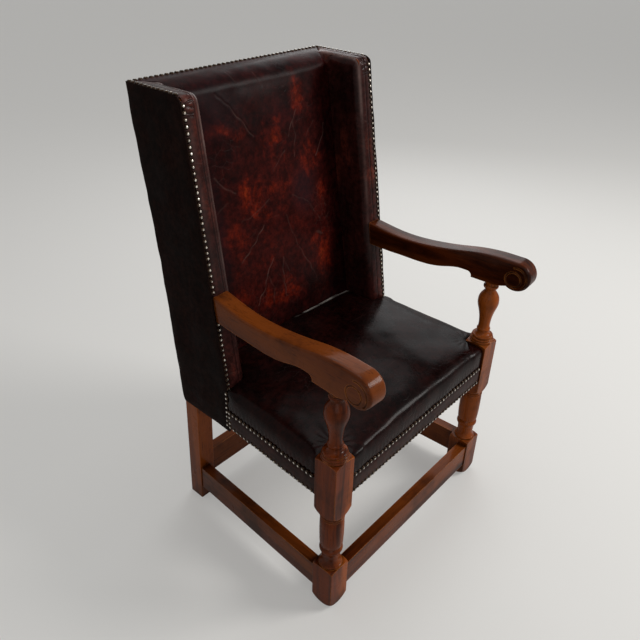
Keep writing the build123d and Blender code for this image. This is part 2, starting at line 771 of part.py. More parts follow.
def volute_grooves(side, scroll_y, scroll_z):
    """Groove round the scroll's eye, and a longer curve outside it that follows the scroll's front."""
    face = side * arm_width / 2
    eye = Plane(origin=(face, scroll_y + eye_drop / 2, scroll_z - eye_drop), x_dir=(0, 1, 0), z_dir=(1, 0, 0))
    middle = Plane(origin=(face, scroll_y, scroll_z - eye_drop / 2), x_dir=(0, 1, 0), z_dir=(1, 0, 0))
    ring = round_groove(eye, eye_radius, outer_groove_start, full_turn)
    curve = round_groove(middle, (scroll_radius + eye_radius) / 2, outer_groove_start, outer_groove_turn)
    return [ring, curve]


def place_arm(body):
    """Turns the arm in towards the wing and sets it on the leg."""
    run = wing_front - leg_half
    turn = degrees(arm_inset_rear / run)
    return Pos(leg_x, 0, 0) * Rot(0, 0, turn) * body


# Nails
dome_radius = (nail_radius * nail_radius + nail_dome * nail_dome) / (2 * nail_dome)
dome_half_angle = asin(nail_radius / dome_radius) / 2
nail_shoulder = (dome_radius * sin(dome_half_angle), nail_dome - dome_radius * (1 - cos(dome_half_angle)))
nail_outline = [Line((0, 0), (nail_radius, 0)), ThreePointArc((nail_radius, 0), nail_shoulder, (0, nail_dome)),
                Line((0, nail_dome), (0, 0))]
nail = revolve(outline_face(Plane.XZ, *nail_outline), Axis.Z)


def nail_row(start, end, normal, skip=None):
    """Close nailing along a straight run, on a face with the given outward direction."""
    length = (Vector(end) - Vector(start)).length
    count = max(1, round(length / nail_spacing))
    row = []
    for i in range(count + 1):
        place = Vector(start) + (Vector(end) - Vector(start)) * (i / count)
        if skip and skip(place):
            continue
        row.append(Plane(origin=place, z_dir=normal).location * nail)
    return row


# Assembly
nodes = {}


def add(name, shape):
    """Keeps a piece, or a group of pieces, under its name."""
    nodes[name] = shape


seat_frame_sides = {}
leg = make_front_leg()
post = post_blank
for name, sizes in cross_rails.items():
    add(name, cross_rail(*sizes))
    mortise = cross_rail(*sizes, grow=joint_fit)
    if sizes[4] == leg_inner:
        leg = leg - mortise
    else:
        post = post - mortise
for name, sizes in side_rails.items():
    rail = side_rail(*sizes)
    seat_frame_sides[name] = rail
    for side, shape in both_sides(rail).items():
        add(side + "_" + name, shape)
    mortises = side_rail(*sizes, grow=joint_fit)
    leg = leg - mortises[0]
    post = post - mortises[1]
for low, high, name in ((back_top_rail_low, back_top_rail_high, "back_top_rail"),
                        (back_low_rail_low, back_low_rail_high, "back_lower_rail")):
    add(name, back_rail(low, high))
    post = post - back_rail(low, high, grow=joint_fit)

# Corner blocks and their screws
post_corner = (outside_half_skirt - post_square / 2, rear_rail_face + rail_thickness / 2, -1)
leg_corner = (leg_x, front_rail_face + rail_thickness / 2, 1)
blocks = []
screws = []
for corner in (leg_corner, post_corner):
    rail_name = "front_seat_rail" if corner == leg_corner else "rear_seat_rail"
    upright = leg if corner == leg_corner else post
    piece = make_corner_block(*corner, [nodes[rail_name], seat_frame_sides["seat_rail"], leg, post])
    for place in corner_screw_places(*corner):
        screw = place * make_screw()
        room = place * make_screw(joint_fit)
        piece = piece - room
        if corner == leg_corner:
            leg = leg - room
        else:
            post = post - room
        screws += both_sides(screw).values()
    blocks += both_sides(piece).values()
add("corner_blocks", Compound(children=blocks))
add("corner_block_screws", Compound(children=screws))

# Wings and arms
wing = make_wing()
arm_blank = place_arm(make_arm())
wing_room = wing_outline(-soft_gap, skirt_height)
arm_middle = (arm_underside + arm_rise / 3)
tenon_mid_x = frame_outer(arm_middle) - wing_frame_thickness / 2
tenon_y_front = wing_line(arm_middle) - overrun
arm_tenon_box = (tenon_mid_x - tenon_thickness, tenon_mid_x + tenon_thickness, tenon_y_front,
                 tenon_y_front + arm_tenon_length + overrun, arm_middle - arm_tenon_height / 2,
                 arm_middle + arm_tenon_height / 2)
arm_tenon_room = block(*[v + (joint_fit if i % 2 else -joint_fit) for i, v in enumerate(arm_tenon_box)])
arm = arm_blank - wing_room
arm = max(arm.solids(), key=lambda s: s.volume) + block(*arm_tenon_box)
pin_room = Pos(leg_x, 0, arm_underside) * Cylinder(
    leg_pin_radius + joint_fit, leg_pin_length + joint_fit, align=(Align.CENTER, Align.CENTER, Align.MIN))
arm = arm - pin_room
wing["wing_post"] = wing["wing_post"] - arm_tenon_room
wing["wing_front_band"] = wing["wing_front_band"] - arm_tenon_room
for name, shape in wing.items():
    for side, half in both_sides(shape).items():
        add(name + "_" + side, half)
for side, half in both_sides(arm).items():
    add(side + "_arm", half)
for side, half in both_sides(leg).items():
    add("front_leg_" + side, half)
for side, half in both_sides(post).items():
    add("back_post_" + side, half)

# Seat and back covers
seat_leather, seat_stuffing = make_seat()
add("seat_leather", seat_leather)
add("seat_stuffing", seat_stuffing)
strips, hessian = seat_webbing()
add("seat_webbing", Compound(children=strips))
add("seat_hessian", hessian)
front_band, side_band = seat_bands()
add("front_seat_band", front_band)
for side, half in both_sides(side_band).items():
    add(side + "_seat_band", half)
inside_back, back_stuffing = make_back_covers()
add("inside_back_leather", inside_back)
add("back_stuffing", back_stuffing)
strips, hessian = back_webbing()
add("back_webbing", Compound(children=strips))
add("back_hessian", hessian)
rear_edge = [(outside_half(z) - side_leather, z) for z in (skirt_height, chair_height)]
rear_panel = back_strip(leather, 0, skirt_height, chair_height - leather - soft_gap)
add("outside_back_leather", rear_panel & front_prism(*rear_edge, *[(-x, z) for x, z in reversed(rear_edge)]))


# Nail rows
def under_arm(place):
    """Where the arm hides the wing's edge."""
    half = arm_rise / 2
    return abs(place.Z - arm_middle) < half


low_z = band_low + nail_margin
high_z = band_high
front_y = seat_face
front_half = leg_inner - nail_margin - nail_radius
front_rows = []
for z in (low_z, high_z):
    front_rows += nail_row((-front_half, front_y, z), (front_half, front_y, z), (0, -1, 0))
add("seat_front_nails", Compound(children=front_rows))
side_rows = []
y_first = leg_half + nail_margin + nail_radius
y_last = wing_front - nail_margin
side_normal = (1, taper_slope, 0)
for z in (low_z, high_z):
    side_rows += nail_row((seat_half(y_first), y_first, z), (seat_half(y_last), y_last, z), side_normal)
column_x = seat_half(y_last)
side_rows += nail_row((column_x, y_last, low_z + nail_spacing), (column_x, y_last, high_z - nail_spacing), side_normal)
for side, half in both_sides(Compound(children=side_rows)).items():
    add(side + "_seat_nails", half)
lean_x = (outside_half_skirt - outside_half_top) / back_height
edge_y = wing_line(skirt_height) + nail_margin
seat_level = seat_edge_height - nail_margin
wing_rows = nail_row((outside_half(low_z), edge_y, low_z), (outside_half(seat_level), edge_y, seat_level), (1, 0, lean_x))
lean_y = (wing_top_front - wing_front) / (chair_height - wing_knee_height)
row_low = seat_edge_height + nail_margin
row_high = chair_height - wing_corner_radius
wing_rows += nail_row((outside_half(row_low) - nail_margin, wing_line(row_low), row_low),
                      (outside_half(row_high) - nail_margin, wing_line(row_high), row_high),
                      (0, -1, lean_y), skip=under_arm)
for side, half in both_sides(Compound(children=wing_rows)).items():
    add("wing_nails_" + side, half)
top_x = outside_half_top - nail_margin
top_start = wing_top_front + wing_corner_radius
top_end = top_rear - nail_margin - nail_spacing
top_rows = nail_row((top_x, top_start, chair_height), (top_x, top_end, chair_height), (0, 0, 1))
for side, half in both_sides(Compound(children=top_rows)).items():
    add("wing_top_nails_" + side, half)
rear_y = top_rear - nail_margin
back_rows = nail_row((-top_x, rear_y, chair_height), (top_x, rear_y, chair_height), (0, 0, 1))
add("back_top_nails", Compound(children=back_rows))

# The origin is under the middle of the chair's box, on the floor
boxes = [shape.bounding_box() for shape in nodes.values()]
centre_y = (min(b.min.Y for b in boxes) + max(b.max.Y for b in boxes)) / 2
os.makedirs("parts", exist_ok=True)
for name, shape in nodes.items():
    export_step(Pos(0, -centre_y, 0) * shape, "parts/" + name + ".step")
print(len(nodes), "nodes, centre y", round(centre_y, 3))
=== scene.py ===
from math import ceil, cos, pi, radians, sin

import bmesh
import bpy
import numpy as np
from mathutils import Matrix, Vector


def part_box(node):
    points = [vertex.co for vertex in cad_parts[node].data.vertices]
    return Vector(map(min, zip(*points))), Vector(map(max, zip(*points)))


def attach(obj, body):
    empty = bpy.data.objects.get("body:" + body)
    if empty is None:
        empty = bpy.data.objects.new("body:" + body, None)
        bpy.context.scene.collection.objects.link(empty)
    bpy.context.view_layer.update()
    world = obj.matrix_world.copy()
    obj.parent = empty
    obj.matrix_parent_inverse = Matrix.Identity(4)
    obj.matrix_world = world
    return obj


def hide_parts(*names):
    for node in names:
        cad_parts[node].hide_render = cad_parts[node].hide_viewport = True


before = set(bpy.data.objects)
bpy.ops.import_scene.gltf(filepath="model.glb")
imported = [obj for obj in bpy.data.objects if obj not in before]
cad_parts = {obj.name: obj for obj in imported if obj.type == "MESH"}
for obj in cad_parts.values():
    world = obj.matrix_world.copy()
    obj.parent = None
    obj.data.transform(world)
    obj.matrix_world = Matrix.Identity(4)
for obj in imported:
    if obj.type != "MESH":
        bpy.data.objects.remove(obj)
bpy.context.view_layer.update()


# Working tools

workshop = {"weld": 1e-5, "smoothAngle": 38, "legLine": -0.24311}  # legLine: y of the front legs' centre line


def clearSelection():
    if bpy.context.object and bpy.context.object.mode != "OBJECT":
        bpy.ops.object.mode_set(mode="OBJECT")
    bpy.ops.object.select_all(action="DESELECT")


def pick(piece):
    clearSelection()
    piece.select_set(True)
    bpy.context.view_layer.objects.active = piece


def editAll(piece, operator, **settings):  # one operator in edit mode, on the whole piece
    pick(piece)
    bpy.ops.object.mode_set(mode="EDIT")
    bpy.ops.mesh.select_all(action="SELECT")
    operator(**settings)
    bpy.ops.object.mode_set(mode="OBJECT")


def newPiece(name, mesh):
    piece = bpy.data.objects.new(name, mesh)
    bpy.context.scene.collection.objects.link(piece)
    return piece


def joined(name, parts):
    pick(parts[0])
    for part in parts:
        part.select_set(True)
    if len(parts) > 1:
        bpy.ops.object.join()
    piece = bpy.context.object
    piece.name = piece.data.name = name
    return piece


def copyOf(name, *nodes):  # one new piece from the joined and welded meshes of these CAD nodes
    made = []
    for node in nodes:
        part = newPiece(name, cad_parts[node].data.copy())
        part.data.materials.clear()
        made.append(part)
    piece = joined(name, made)
    if piece.data.has_custom_normals:
        bpy.ops.mesh.customdata_custom_splitnormals_clear()
    editAll(piece, bpy.ops.mesh.remove_doubles, threshold=workshop["weld"])
    return piece


def applyModifier(piece, kind, **settings):
    pick(piece)
    modifier = piece.modifiers.new(kind.title(), kind)
    for key, value in settings.items():
        setattr(modifier, key, value)
    bpy.ops.object.modifier_apply(modifier=modifier.name)


def smooth(piece, angle=None):
    pick(piece)
    bpy.ops.object.shade_smooth_by_angle(angle=radians(angle or workshop["smoothAngle"]))


def slicePiece(piece, axis, every):  # even cuts across an axis, so that the piece can be worked in relief
    spots = [corner[axis] for corner in piece.bound_box]
    low, high = min(spots), max(spots)
    count = ceil((high - low) / every)
    normal = [0, 0, 0]
    normal[axis] = 1
    pick(piece)
    bpy.ops.object.mode_set(mode="EDIT")
    for i in range(1, count):
        place = [0, 0, 0]
        place[axis] = low + (high - low) * i / count
        bpy.ops.mesh.select_all(action="SELECT")
        bpy.ops.mesh.bisect(plane_co=place, plane_no=normal)
    bpy.ops.object.mode_set(mode="OBJECT")


def joinFlats(piece, angle=1):  # one face again for each flat, before it is sliced
    editAll(piece, bpy.ops.mesh.dissolve_limited, angle_limit=radians(angle))


def editFaces(piece, chosen, operator, **settings):  # one operator on only the faces that the test takes
    pick(piece)
    bpy.ops.object.mode_set(mode="EDIT")
    bpy.ops.mesh.select_mode(type="FACE")
    bpy.ops.mesh.select_all(action="DESELECT")
    bpy.ops.object.mode_set(mode="OBJECT")
    for face in piece.data.polygons:
        face.select = bool(chosen(face))
    bpy.ops.object.mode_set(mode="EDIT")
    operator(**settings)
    bpy.ops.object.mode_set(mode="OBJECT")


def makeFiner(piece, among):  # the faces whose corners are all among these points
    editFaces(piece, lambda face: all(among[number] for number in face.vertices),
              bpy.ops.mesh.subdivide, number_cuts=1)


def pointsOf(piece, kind="co"):
    flat = np.empty(len(piece.data.vertices) * 3)
    piece.data.vertices.foreach_get(kind, flat)
    return flat.reshape(-1, 3)


def normalsOf(piece):
    return pointsOf(piece, "normal")


def movePoints(piece, points):
    piece.data.vertices.foreach_set("co", points.ravel())
    piece.data.update()


def painting(piece, name):
    values = np.empty(len(piece.data.vertices), dtype=np.float32)
    piece.data.attributes[name].data.foreach_get("value", values)
    return values


def paint(piece, name, values):  # a value at each point, for the material to read
    layer = piece.data.attributes.get(name) or piece.data.attributes.new(name, "FLOAT", "POINT")
    layer.data.foreach_set("value", np.asarray(values, dtype=np.float32))


def ripple(points, size, seed, count=8):  # smooth unevenness of about this size, from -1 to 1
    dice = np.random.default_rng(seed)
    total = np.zeros(len(points))
    for _ in range(count):
        way = dice.normal(size=points.shape[1])
        way /= np.linalg.norm(way)
        total += np.sin(points @ way * 2 * pi / size * dice.uniform(0.7, 1.4) + dice.uniform(0, 2 * pi))
    return np.clip(total / count * 1.8, -1, 1)


def step(values, low, high):  # soft step from 0 to 1
    t = np.clip((values - low) / (high - low), 0, 1)
    return t * t * (3 - 2 * t)


def fade(values, low, high):  # soft step from 1 to 0
    return step(-values, -high, -low)


def hump(values, width):  # 1 at nothing, falling off either way
    return np.exp(-(values / width) ** 2)


def nearLine(points, line):  # distance from each point to a drawn line
    best = np.full(len(points), np.inf)
    corners = np.array(line, dtype=float)
    for start, end in zip(corners, corners[1:]):
        run = end - start
        t = np.clip((points - start) @ run / (run @ run), 0, 1)
        best = np.minimum(best, np.linalg.norm(points - start - t[:, None] * run, axis=1))
    return best


def dress(piece, material):
    piece.data.materials.clear()
    piece.data.materials.append(material)


def finishPiece(piece, material, slot, *nodes):  # it stands for these CAD nodes
    dress(piece, material)
    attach(piece, "root")
    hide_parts(*nodes)


# Lines of the chair, in millimetres from the floor and from the front legs' centre line, as it is drawn

drawing = {
    "skirt": 331, "top": 1091, "rearSkirt": 485, "rearTop": 586, "bow": 8,
    "outsideSkirt": 300, "outsideTop": 286, "wingSkirt": 58, "wingTop": 49,
    "wingFront": 317, "wingKnee": 430, "wingTopFront": 414, "corner": 18,
    "padFoot": 452, "padFootY": 411, "padTopY": 508, "padBow": -0.16, "padCrown": 9,
    "rollHigh": 36, "rollDeep": 50, "mitreY": 540, "mitreStart": 4,
    "valley": 6, "valleyWide": 15, "valleyRear": (514, 536), "valleyFront": (484, 505),
    "leather": 2.5, "gap": 0.3, "bandHigh": 392,
}
mm = 0.001


def heightShare(z):  # 0 at the leather's foot, 1 at its top
    return (z - drawing["skirt"]) / (drawing["top"] - drawing["skirt"])


def outsideHalf(z):  # half the width over the wings
    return drawing["outsideSkirt"] + (drawing["outsideTop"] - drawing["outsideSkirt"]) * heightShare(z)


def insideHalf(z):  # half the width between them
    foot, top = drawing["wingSkirt"], drawing["wingTop"]
    return outsideHalf(z) - foot - (top - foot) * heightShare(z)


def wingLine(z):  # the wings' front edge
    lean = (drawing["wingTopFront"] - drawing["wingFront"]) / (drawing["top"] - drawing["wingKnee"])
    return drawing["wingFront"] + np.maximum(0, z - drawing["wingKnee"]) * lean


def backLine(z):  # rear face of the back, near enough to its arc
    share = heightShare(z)
    straight = drawing["rearSkirt"] + (drawing["rearTop"] - drawing["rearSkirt"]) * share
    return straight - drawing["bow"] * 4 * share * (1 - share)


def padLine(z):  # front face of the back
    share = (z - drawing["padFoot"]) / (drawing["top"] - drawing["padFoot"])
    bow = drawing["padBow"]
    bowed = (1 - bow) * share + bow * share ** 2
    return drawing["padFootY"] + (drawing["padTopY"] - drawing["padFootY"]) * bowed


def rollLine(y):  # height of the back's top, from its face over the roll to the rear nails
    high, deep = drawing["rollHigh"], drawing["rollDeep"]
    share = np.clip((padLine(drawing["top"] - high) + deep - y) / deep, 0, 1)
    return drawing["top"] - high * (1 - np.sqrt(1 - share ** 2))


def mitreLine(y):  # half the back's width at its top, between the wings and then out to the rear corners
    inner = insideHalf(drawing["top"])
    early = np.clip((y - drawing["padTopY"]) / (drawing["mitreY"] - drawing["padTopY"]), 0, 1)
    late = np.clip((y - drawing["mitreY"]) / (drawing["rearTop"] - drawing["mitreY"]), 0, 1)
    start = drawing["mitreStart"]
    return inner + start * early + (drawing["outsideTop"] - inner - start) * late


def cutLine(y):  # the same as the wing's top strip is cut
    inner = insideHalf(drawing["top"])
    share = np.clip((y - drawing["padTopY"]) / (drawing["rearTop"] - drawing["padTopY"]), 0, 1)
    return inner + (drawing["outsideTop"] - inner) * share


def valleyDepth(y):  # how far the two rolls sink where they meet
    return drawing["valley"] * step(y, *drawing["valleyFront"]) * (1 - step(y, *drawing["valleyRear"]))


def rounded(share):  # a quarter of a circle, from 0 at its foot to 1
    return np.sqrt(1 - (1 - np.clip(share, 0, 1)) ** 2)


def inFrame(points):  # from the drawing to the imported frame, in metres
    placed = np.array(points, dtype=float) * mm
    placed[:, 1] += workshop["legLine"]
    return placed


def inDrawing(points):  # and back
    drawn = np.array(points, dtype=float)
    drawn[:, 1] -= workshop["legLine"]
    return drawn / mm


def drawnParts(piece, sign=1):  # how far each point is to one side, back and up, as drawn
    x, y, z = inDrawing(pointsOf(piece)).T
    return x * sign, y, z


# Camera, floor and lights

def feed(tree, node, inputs):  # sets or links a node's inputs, by name or number
    for key, value in inputs.items():
        socket = node.inputs[key]
        if isinstance(value, bpy.types.NodeSocket):
            tree.links.new(value, socket)
        elif socket.type == "RGBA" and len(value) == 3:
            socket.default_value = (*value, 1)
        else:
            socket.default_value = value


def addNode(tree, kind, inputs=None, **settings):
    made = tree.nodes.new("ShaderNode" + kind)
    for key, value in settings.items():
        setattr(made, key, value)
    feed(tree, made, inputs or {})
    return made


def newMaterial(name):
    material = bpy.data.materials.new(name)
    material.use_nodes = True
    tree = material.node_tree
    tree.nodes.clear()
    shader = addNode(tree, "BsdfPrincipled")
    addNode(tree, "OutputMaterial", {0: shader.outputs[0]})
    return material, tree, shader, addNode(tree, "TexCoord").outputs["Object"]


view = {
    "place": (-1.0401, -0.8515, 1.4009), "yaw": -48.88, "pitch": 32.30, "roll": 1.39,
    "lens": 36.73, "sensor": 36, "shiftX": -0.0016, "shiftY": -0.0066,
}


def setCamera():
    yaw, pitch, roll = (radians(view[key]) for key in ("yaw", "pitch", "roll"))
    back = Vector((sin(yaw) * cos(pitch), -cos(yaw) * cos(pitch), sin(pitch)))
    level = Vector((cos(yaw), sin(yaw), 0))
    rise = back.cross(level)
    across = level * cos(roll) + rise * sin(roll)
    up = rise * cos(roll) - level * sin(roll)
    bpy.ops.object.camera_add(location=view["place"])
    camera = bpy.context.object
    camera.rotation_euler = Matrix((across, up, back)).transposed().to_euler()
    camera.data.lens = view["lens"]
    camera.data.sensor_width = view["sensor"]
    camera.data.shift_x, camera.data.shift_y = view["shiftX"], view["shiftY"]
    bpy.context.scene.camera = camera


studio = {
    "floorSize": 30, "floorColour": (0.50, 0.494, 0.48), "floorRough": 0.8, "floorGlow": 0.52,
    "skyColour": (0.80, 0.80, 0.79), "skyLight": 0.30, "skySeen": 0.80,
    # name: place, where it looks, size, watts, colour
    "lamps": {
        "key": ((2.4, -2.6, 2.7), (0.0, 0.0, 0.7), 1.6, 105, (1.0, 0.98, 0.95)),
        "fill": ((-2.8, -2.4, 2.2), (0.0, -0.1, 0.6), 2.4, 14, (0.97, 0.98, 1.0)),
        "window": ((2.0, 1.1, 1.8), (0.1, 0.0, 0.55), 1.8, 15, (0.98, 0.99, 1.0)),
        "top": ((0.3, 0.6, 3.2), (0.0, 0.1, 0.9), 1.6, 14, (1.0, 0.99, 0.97)),
    },
}


def seenDirectly(tree):  # 1 for what the camera or a reflection sees
    path = addNode(tree, "LightPath")
    seen = path.outputs["Is Camera Ray"]
    for name in ("Is Glossy Ray", "Is Transmission Ray"):
        seen = addNode(tree, "Math", {0: seen, 1: path.outputs[name]}, operation="MAXIMUM").outputs[0]
    return seen


def setFloor():
    bpy.ops.mesh.primitive_plane_add(size=studio["floorSize"])
    floor = bpy.context.object
    floor.name = "floor"
    material, tree, shader, _ = newMaterial("paleFloor")
    # seen by the camera or in a reflection, the floor is paler than its light makes it
    glow = [part * studio["floorGlow"] for part in studio["floorColour"]]
    feed(tree, shader, {"Base Color": studio["floorColour"], "Roughness": studio["floorRough"],
                        "Emission Color": glow, "Emission Strength": seenDirectly(tree)})
    floor.data.materials.append(material)


def setLight():
    world = bpy.data.worlds.new("studio")
    bpy.context.scene.world = world
    world.use_nodes = True
    tree = world.node_tree
    tree.nodes.clear()
    skies = [addNode(tree, "Background", {"Color": studio["skyColour"], "Strength": studio[key]}).outputs[0]
             for key in ("skyLight", "skySeen")]
    mix = addNode(tree, "MixShader", {0: seenDirectly(tree), 1: skies[0], 2: skies[1]})
    addNode(tree, "OutputWorld", {0: mix.outputs[0]})
    for name, (place, target, size, watts, colour) in studio["lamps"].items():
        bpy.ops.object.light_add(type="AREA", location=place)
        lamp = bpy.context.object
        lamp.name = name
        lamp.data.shape = "DISK"
        lamp.data.size = size
        lamp.data.energy = watts
        lamp.data.color = colour
        lamp.rotation_euler = (Vector(target) - Vector(place)).to_track_quat("-Z", "Y").to_euler()
    bpy.context.scene.view_settings.view_transform = "Standard"


clearSelection()
setCamera()
setFloor()
setLight()
print("camera, floor and lights")


# Materials

def stretched(tree, coords, scale, turn=(0, 0, 0)):
    return addNode(tree, "Mapping", {"Vector": coords, "Scale": scale, "Rotation": turn}).outputs[0]


def noiseOf(tree, coords, scale, detail=4, rough=0.55, warp=0):
    inputs = {"Vector": coords, "Scale": scale, "Detail": detail, "Roughness": rough, "Distortion": warp}
    return addNode(tree, "TexNoise", inputs).outputs["Fac"]


def ranged(tree, value, low, high, newLow=0.0, newHigh=1.0):
    inputs = {"Value": value, "From Min": low, "From Max": high, "To Min": newLow, "To Max": newHigh}
    return addNode(tree, "MapRange", inputs, interpolation_type="SMOOTHSTEP").outputs[0]


def blended(tree, share, first, second, way="MIX"):
    made = addNode(tree, "Mix", {0: share, 6: first, 7: second}, data_type="RGBA", blend_type=way)
    return made.outputs[2]


def shaded(tree, colour, tone):
    grey = addNode(tree, "CombineColor", {0: tone, 1: tone, 2: tone}).outputs[0]
    return blended(tree, 1.0, colour, grey, "MULTIPLY")


def sums(tree, way, first, second=0.0):
    return addNode(tree, "Math", {0: first, 1: second}, operation=way).outputs[0]


def times(tree, first, second):
    return sums(tree, "MULTIPLY", first, second)


def painted(tree, name):
    return addNode(tree, "Attribute", attribute_name=name).outputs["Fac"]


def bumped(tree, height, distance, strength=1.0, under=None):
    inputs = {"Height": height, "Distance": distance, "Strength": strength}
    if under is not None:
        inputs["Normal"] = under
    return addNode(tree, "Bump", inputs).outputs[0]


def finishLook(tree, shader, look, colour, rough, normal):  # with a thin coat of wax
    feed(tree, shader, {"Base Color": colour, "Roughness": rough, "Normal": normal,
                        "Coat Weight": look["wax"], "Coat Roughness": look["waxRough"],
                        "Specular IOR Level": look["shine"]})


leatherLooks = {
    # dark, body, worn and hottest colours, the grey of painted sheen, and the light lines of its creases;
    # where the hide turns to body and to worn; roughness low and high; wax, shine and how rough the wax is
    "hide": {"dark": (0.005, 0.0013, 0.0016), "body": (0.038, 0.004, 0.0028), "worn": (0.12, 0.0095, 0.003),
             "ember": (0.25, 0.034, 0.007), "grey": (0.017, 0.008, 0.011), "line": (0.13, 0.072, 0.06),
             "bodyAt": (0.37, 0.68), "wornAt": (0.28, 1.00), "rough": (0.27, 0.42), "wax": 0.05,
             "shine": 0.02, "waxRough": 0.34},
    "seat": {"dark": (0.003, 0.0009, 0.0009), "body": (0.019, 0.003, 0.0022), "worn": (0.082, 0.012, 0.0048),
             "ember": (0.115, 0.026, 0.01), "grey": (0.034, 0.015, 0.013), "line": (0.07, 0.045, 0.04),
             "bodyAt": (0.38, 0.72), "wornAt": (0.34, 1.1), "rough": (0.22, 0.34), "wax": 0.08,
             "shine": 0.025, "waxRough": 0.2},
    "side": {"dark": (0.0062, 0.0028, 0.0022), "body": (0.018, 0.0062, 0.0044), "worn": (0.03, 0.01, 0.007),
             "ember": (0.03, 0.012, 0.008), "grey": (0.014, 0.01, 0.009), "line": (0.02, 0.014, 0.012),
             "bodyAt": (0.42, 0.76), "wornAt": (0.5, 1.2), "rough": (0.5, 0.66), "wax": 0.0,
             "shine": 0.02, "waxRough": 0.2},
    "wing": {"dark": (0.0075, 0.0028, 0.0028), "body": (0.032, 0.007, 0.0056), "worn": (0.095, 0.018, 0.01),
             "ember": (0.15, 0.035, 0.015), "grey": (0.175, 0.112, 0.1), "line": (0.12, 0.075, 0.064),
             "bodyAt": (0.36, 0.66), "wornAt": (0.36, 1.00), "rough": (0.24, 0.38), "wax": 0.09,
             "shine": 0.04, "waxRough": 0.2},
    "band": {"dark": (0.009, 0.0036, 0.003), "body": (0.036, 0.0095, 0.0064), "worn": (0.08, 0.024, 0.015),
             "ember": (0.12, 0.048, 0.03), "grey": (0.055, 0.034, 0.029), "line": (0.1, 0.07, 0.06),
             "bodyAt": (0.34, 0.68), "wornAt": (0.4, 1.00), "rough": (0.32, 0.48), "wax": 0.04,
             "shine": 0.04, "waxRough": 0.2},
}


leatherGrain = {
    # scale, detail, roughness and distortion of each noise
    "drift": (6.5, 9, 0.66, 0.6), "blotch": (16, 10, 0.72, 0.5), "strokes": (1.0, 9, 0.70, 0.8),
    "fine": (75, 6, 0.65), "cracked": (9, 4), "hollows": (24, 3), "lines": (1.0, 3, 0.5),
    "strokeStretch": (30, 30, 9), "lineStretch": (7, 230, 7),
    "lineTurns": ((0.3, 0.5, 0.9), (1.1, 0.2, -0.7)),
    "crackScale": 42, "crackWidth": 0.035, "swirlScale": 26, "swirl": 0.03, "pores": 620,
    # how far each mark takes the colour over
    "cracks": 0.10, "scratches": 0.20, "grimeAndShade": 0.85, "wearAndGlint": 0.9, "paleWearAndSheen": (0.40, 0.37, 0.34),
}


def leatherMaterial(name, look):
    material, tree, shader, coords = newMaterial(name)
    grain = leatherGrain
    drift, blotch, fine = (noiseOf(tree, coords, *grain[key]) for key in ("drift", "blotch", "fine"))
    strokes = noiseOf(tree, stretched(tree, coords, grain["strokeStretch"]), *grain["strokes"])
    worn, paintedSheen, crease = (painted(tree, key) for key in ("worn", "paintedSheen", "crease"))
    mottle = sums(tree, "ADD", times(tree, blotch, 0.55), times(tree, strokes, 0.45))
    spread = sums(tree, "ADD", times(tree, mottle, 0.7), times(tree, worn, 0.24))
    body = ranged(tree, sums(tree, "ADD", times(tree, drift, 0.3), spread), *look["bodyAt"])
    heat = times(tree, worn, ranged(tree, mottle, 0.34, 0.66, 0.12, 1.45))
    colour = blended(tree, body, look["dark"], look["body"])
    colour = blended(tree, ranged(tree, heat, *look["wornAt"]), colour, look["worn"])
    colour = blended(tree, ranged(tree, heat, 0.86, 1.5, 0, 0.9), colour, look["ember"])
    speck = ranged(tree, fine, 0.34, 0.68, 0.50, 1.35)
    colour = shaded(tree, colour, speck)
    # painted sheen: a grey veil where it is painted
    veil = times(tree, paintedSheen, ranged(tree, mottle, 0.36, 0.62, 0.45, 1.0))
    colour = blended(tree, veil, colour, look["grey"])
    # hair cracks in the finish
    swirl = addNode(tree, "TexNoise", {"Vector": coords, "Scale": grain["swirlScale"]}).outputs["Color"]
    swirl = addNode(tree, "VectorMath", {0: swirl, "Scale": grain["swirl"]}, operation="SCALE").outputs[0]
    warped = addNode(tree, "VectorMath", {0: coords, 1: swirl}, operation="ADD").outputs[0]
    size = grain["crackScale"]
    cells = addNode(tree, "TexVoronoi", {"Vector": warped, "Scale": size}, feature="DISTANCE_TO_EDGE")
    crack = ranged(tree, cells.outputs["Distance"], 0.0, grain["crackWidth"], 1.0, 0.0)
    where = ranged(tree, noiseOf(tree, coords, *grain["cracked"]), 0.50, 0.66)
    crackHere = times(tree, crack, where)
    colour = blended(tree, times(tree, crackHere, grain["cracks"]), colour, look["line"])
    # light scratches, long and thin, two ways
    thin = []
    for turn in grain["lineTurns"]:
        lines = noiseOf(tree, stretched(tree, coords, grain["lineStretch"], turn), *grain["lines"])
        thin.append(ranged(tree, lines, 0.70, 0.78))
    scratch = sums(tree, "MAXIMUM", *thin)
    colour = blended(tree, times(tree, scratch, grain["scratches"]), colour, look["line"])
    colour = blended(tree, crease, colour, look["line"])
    # painted shade, with grime round the nails, goes to the dark colour; a pale line of wear and painted
    # highlight goes paler
    for mark, over in (("grimeAndShade", look["dark"]), ("wearAndGlint", grain["paleWearAndSheen"])):
        colour = blended(tree, times(tree, painted(tree, mark), grain[mark]), colour, over)
    rough = ranged(tree, blotch, 0.3, 0.7, *look["rough"])
    pores = addNode(tree, "TexVoronoi", {"Vector": coords, "Scale": grain["pores"]}, feature="F1")
    normal = bumped(tree, pores.outputs["Distance"], 0.00012, 0.5)
    normal = bumped(tree, fine, 0.0006, 0.35, normal)
    normal = bumped(tree, crackHere, -0.0005, 0.5, normal)
    normal = bumped(tree, noiseOf(tree, coords, *grain["hollows"]), 0.003, 0.15, normal)
    finishLook(tree, shader, look, colour, rough, normal)
    return material


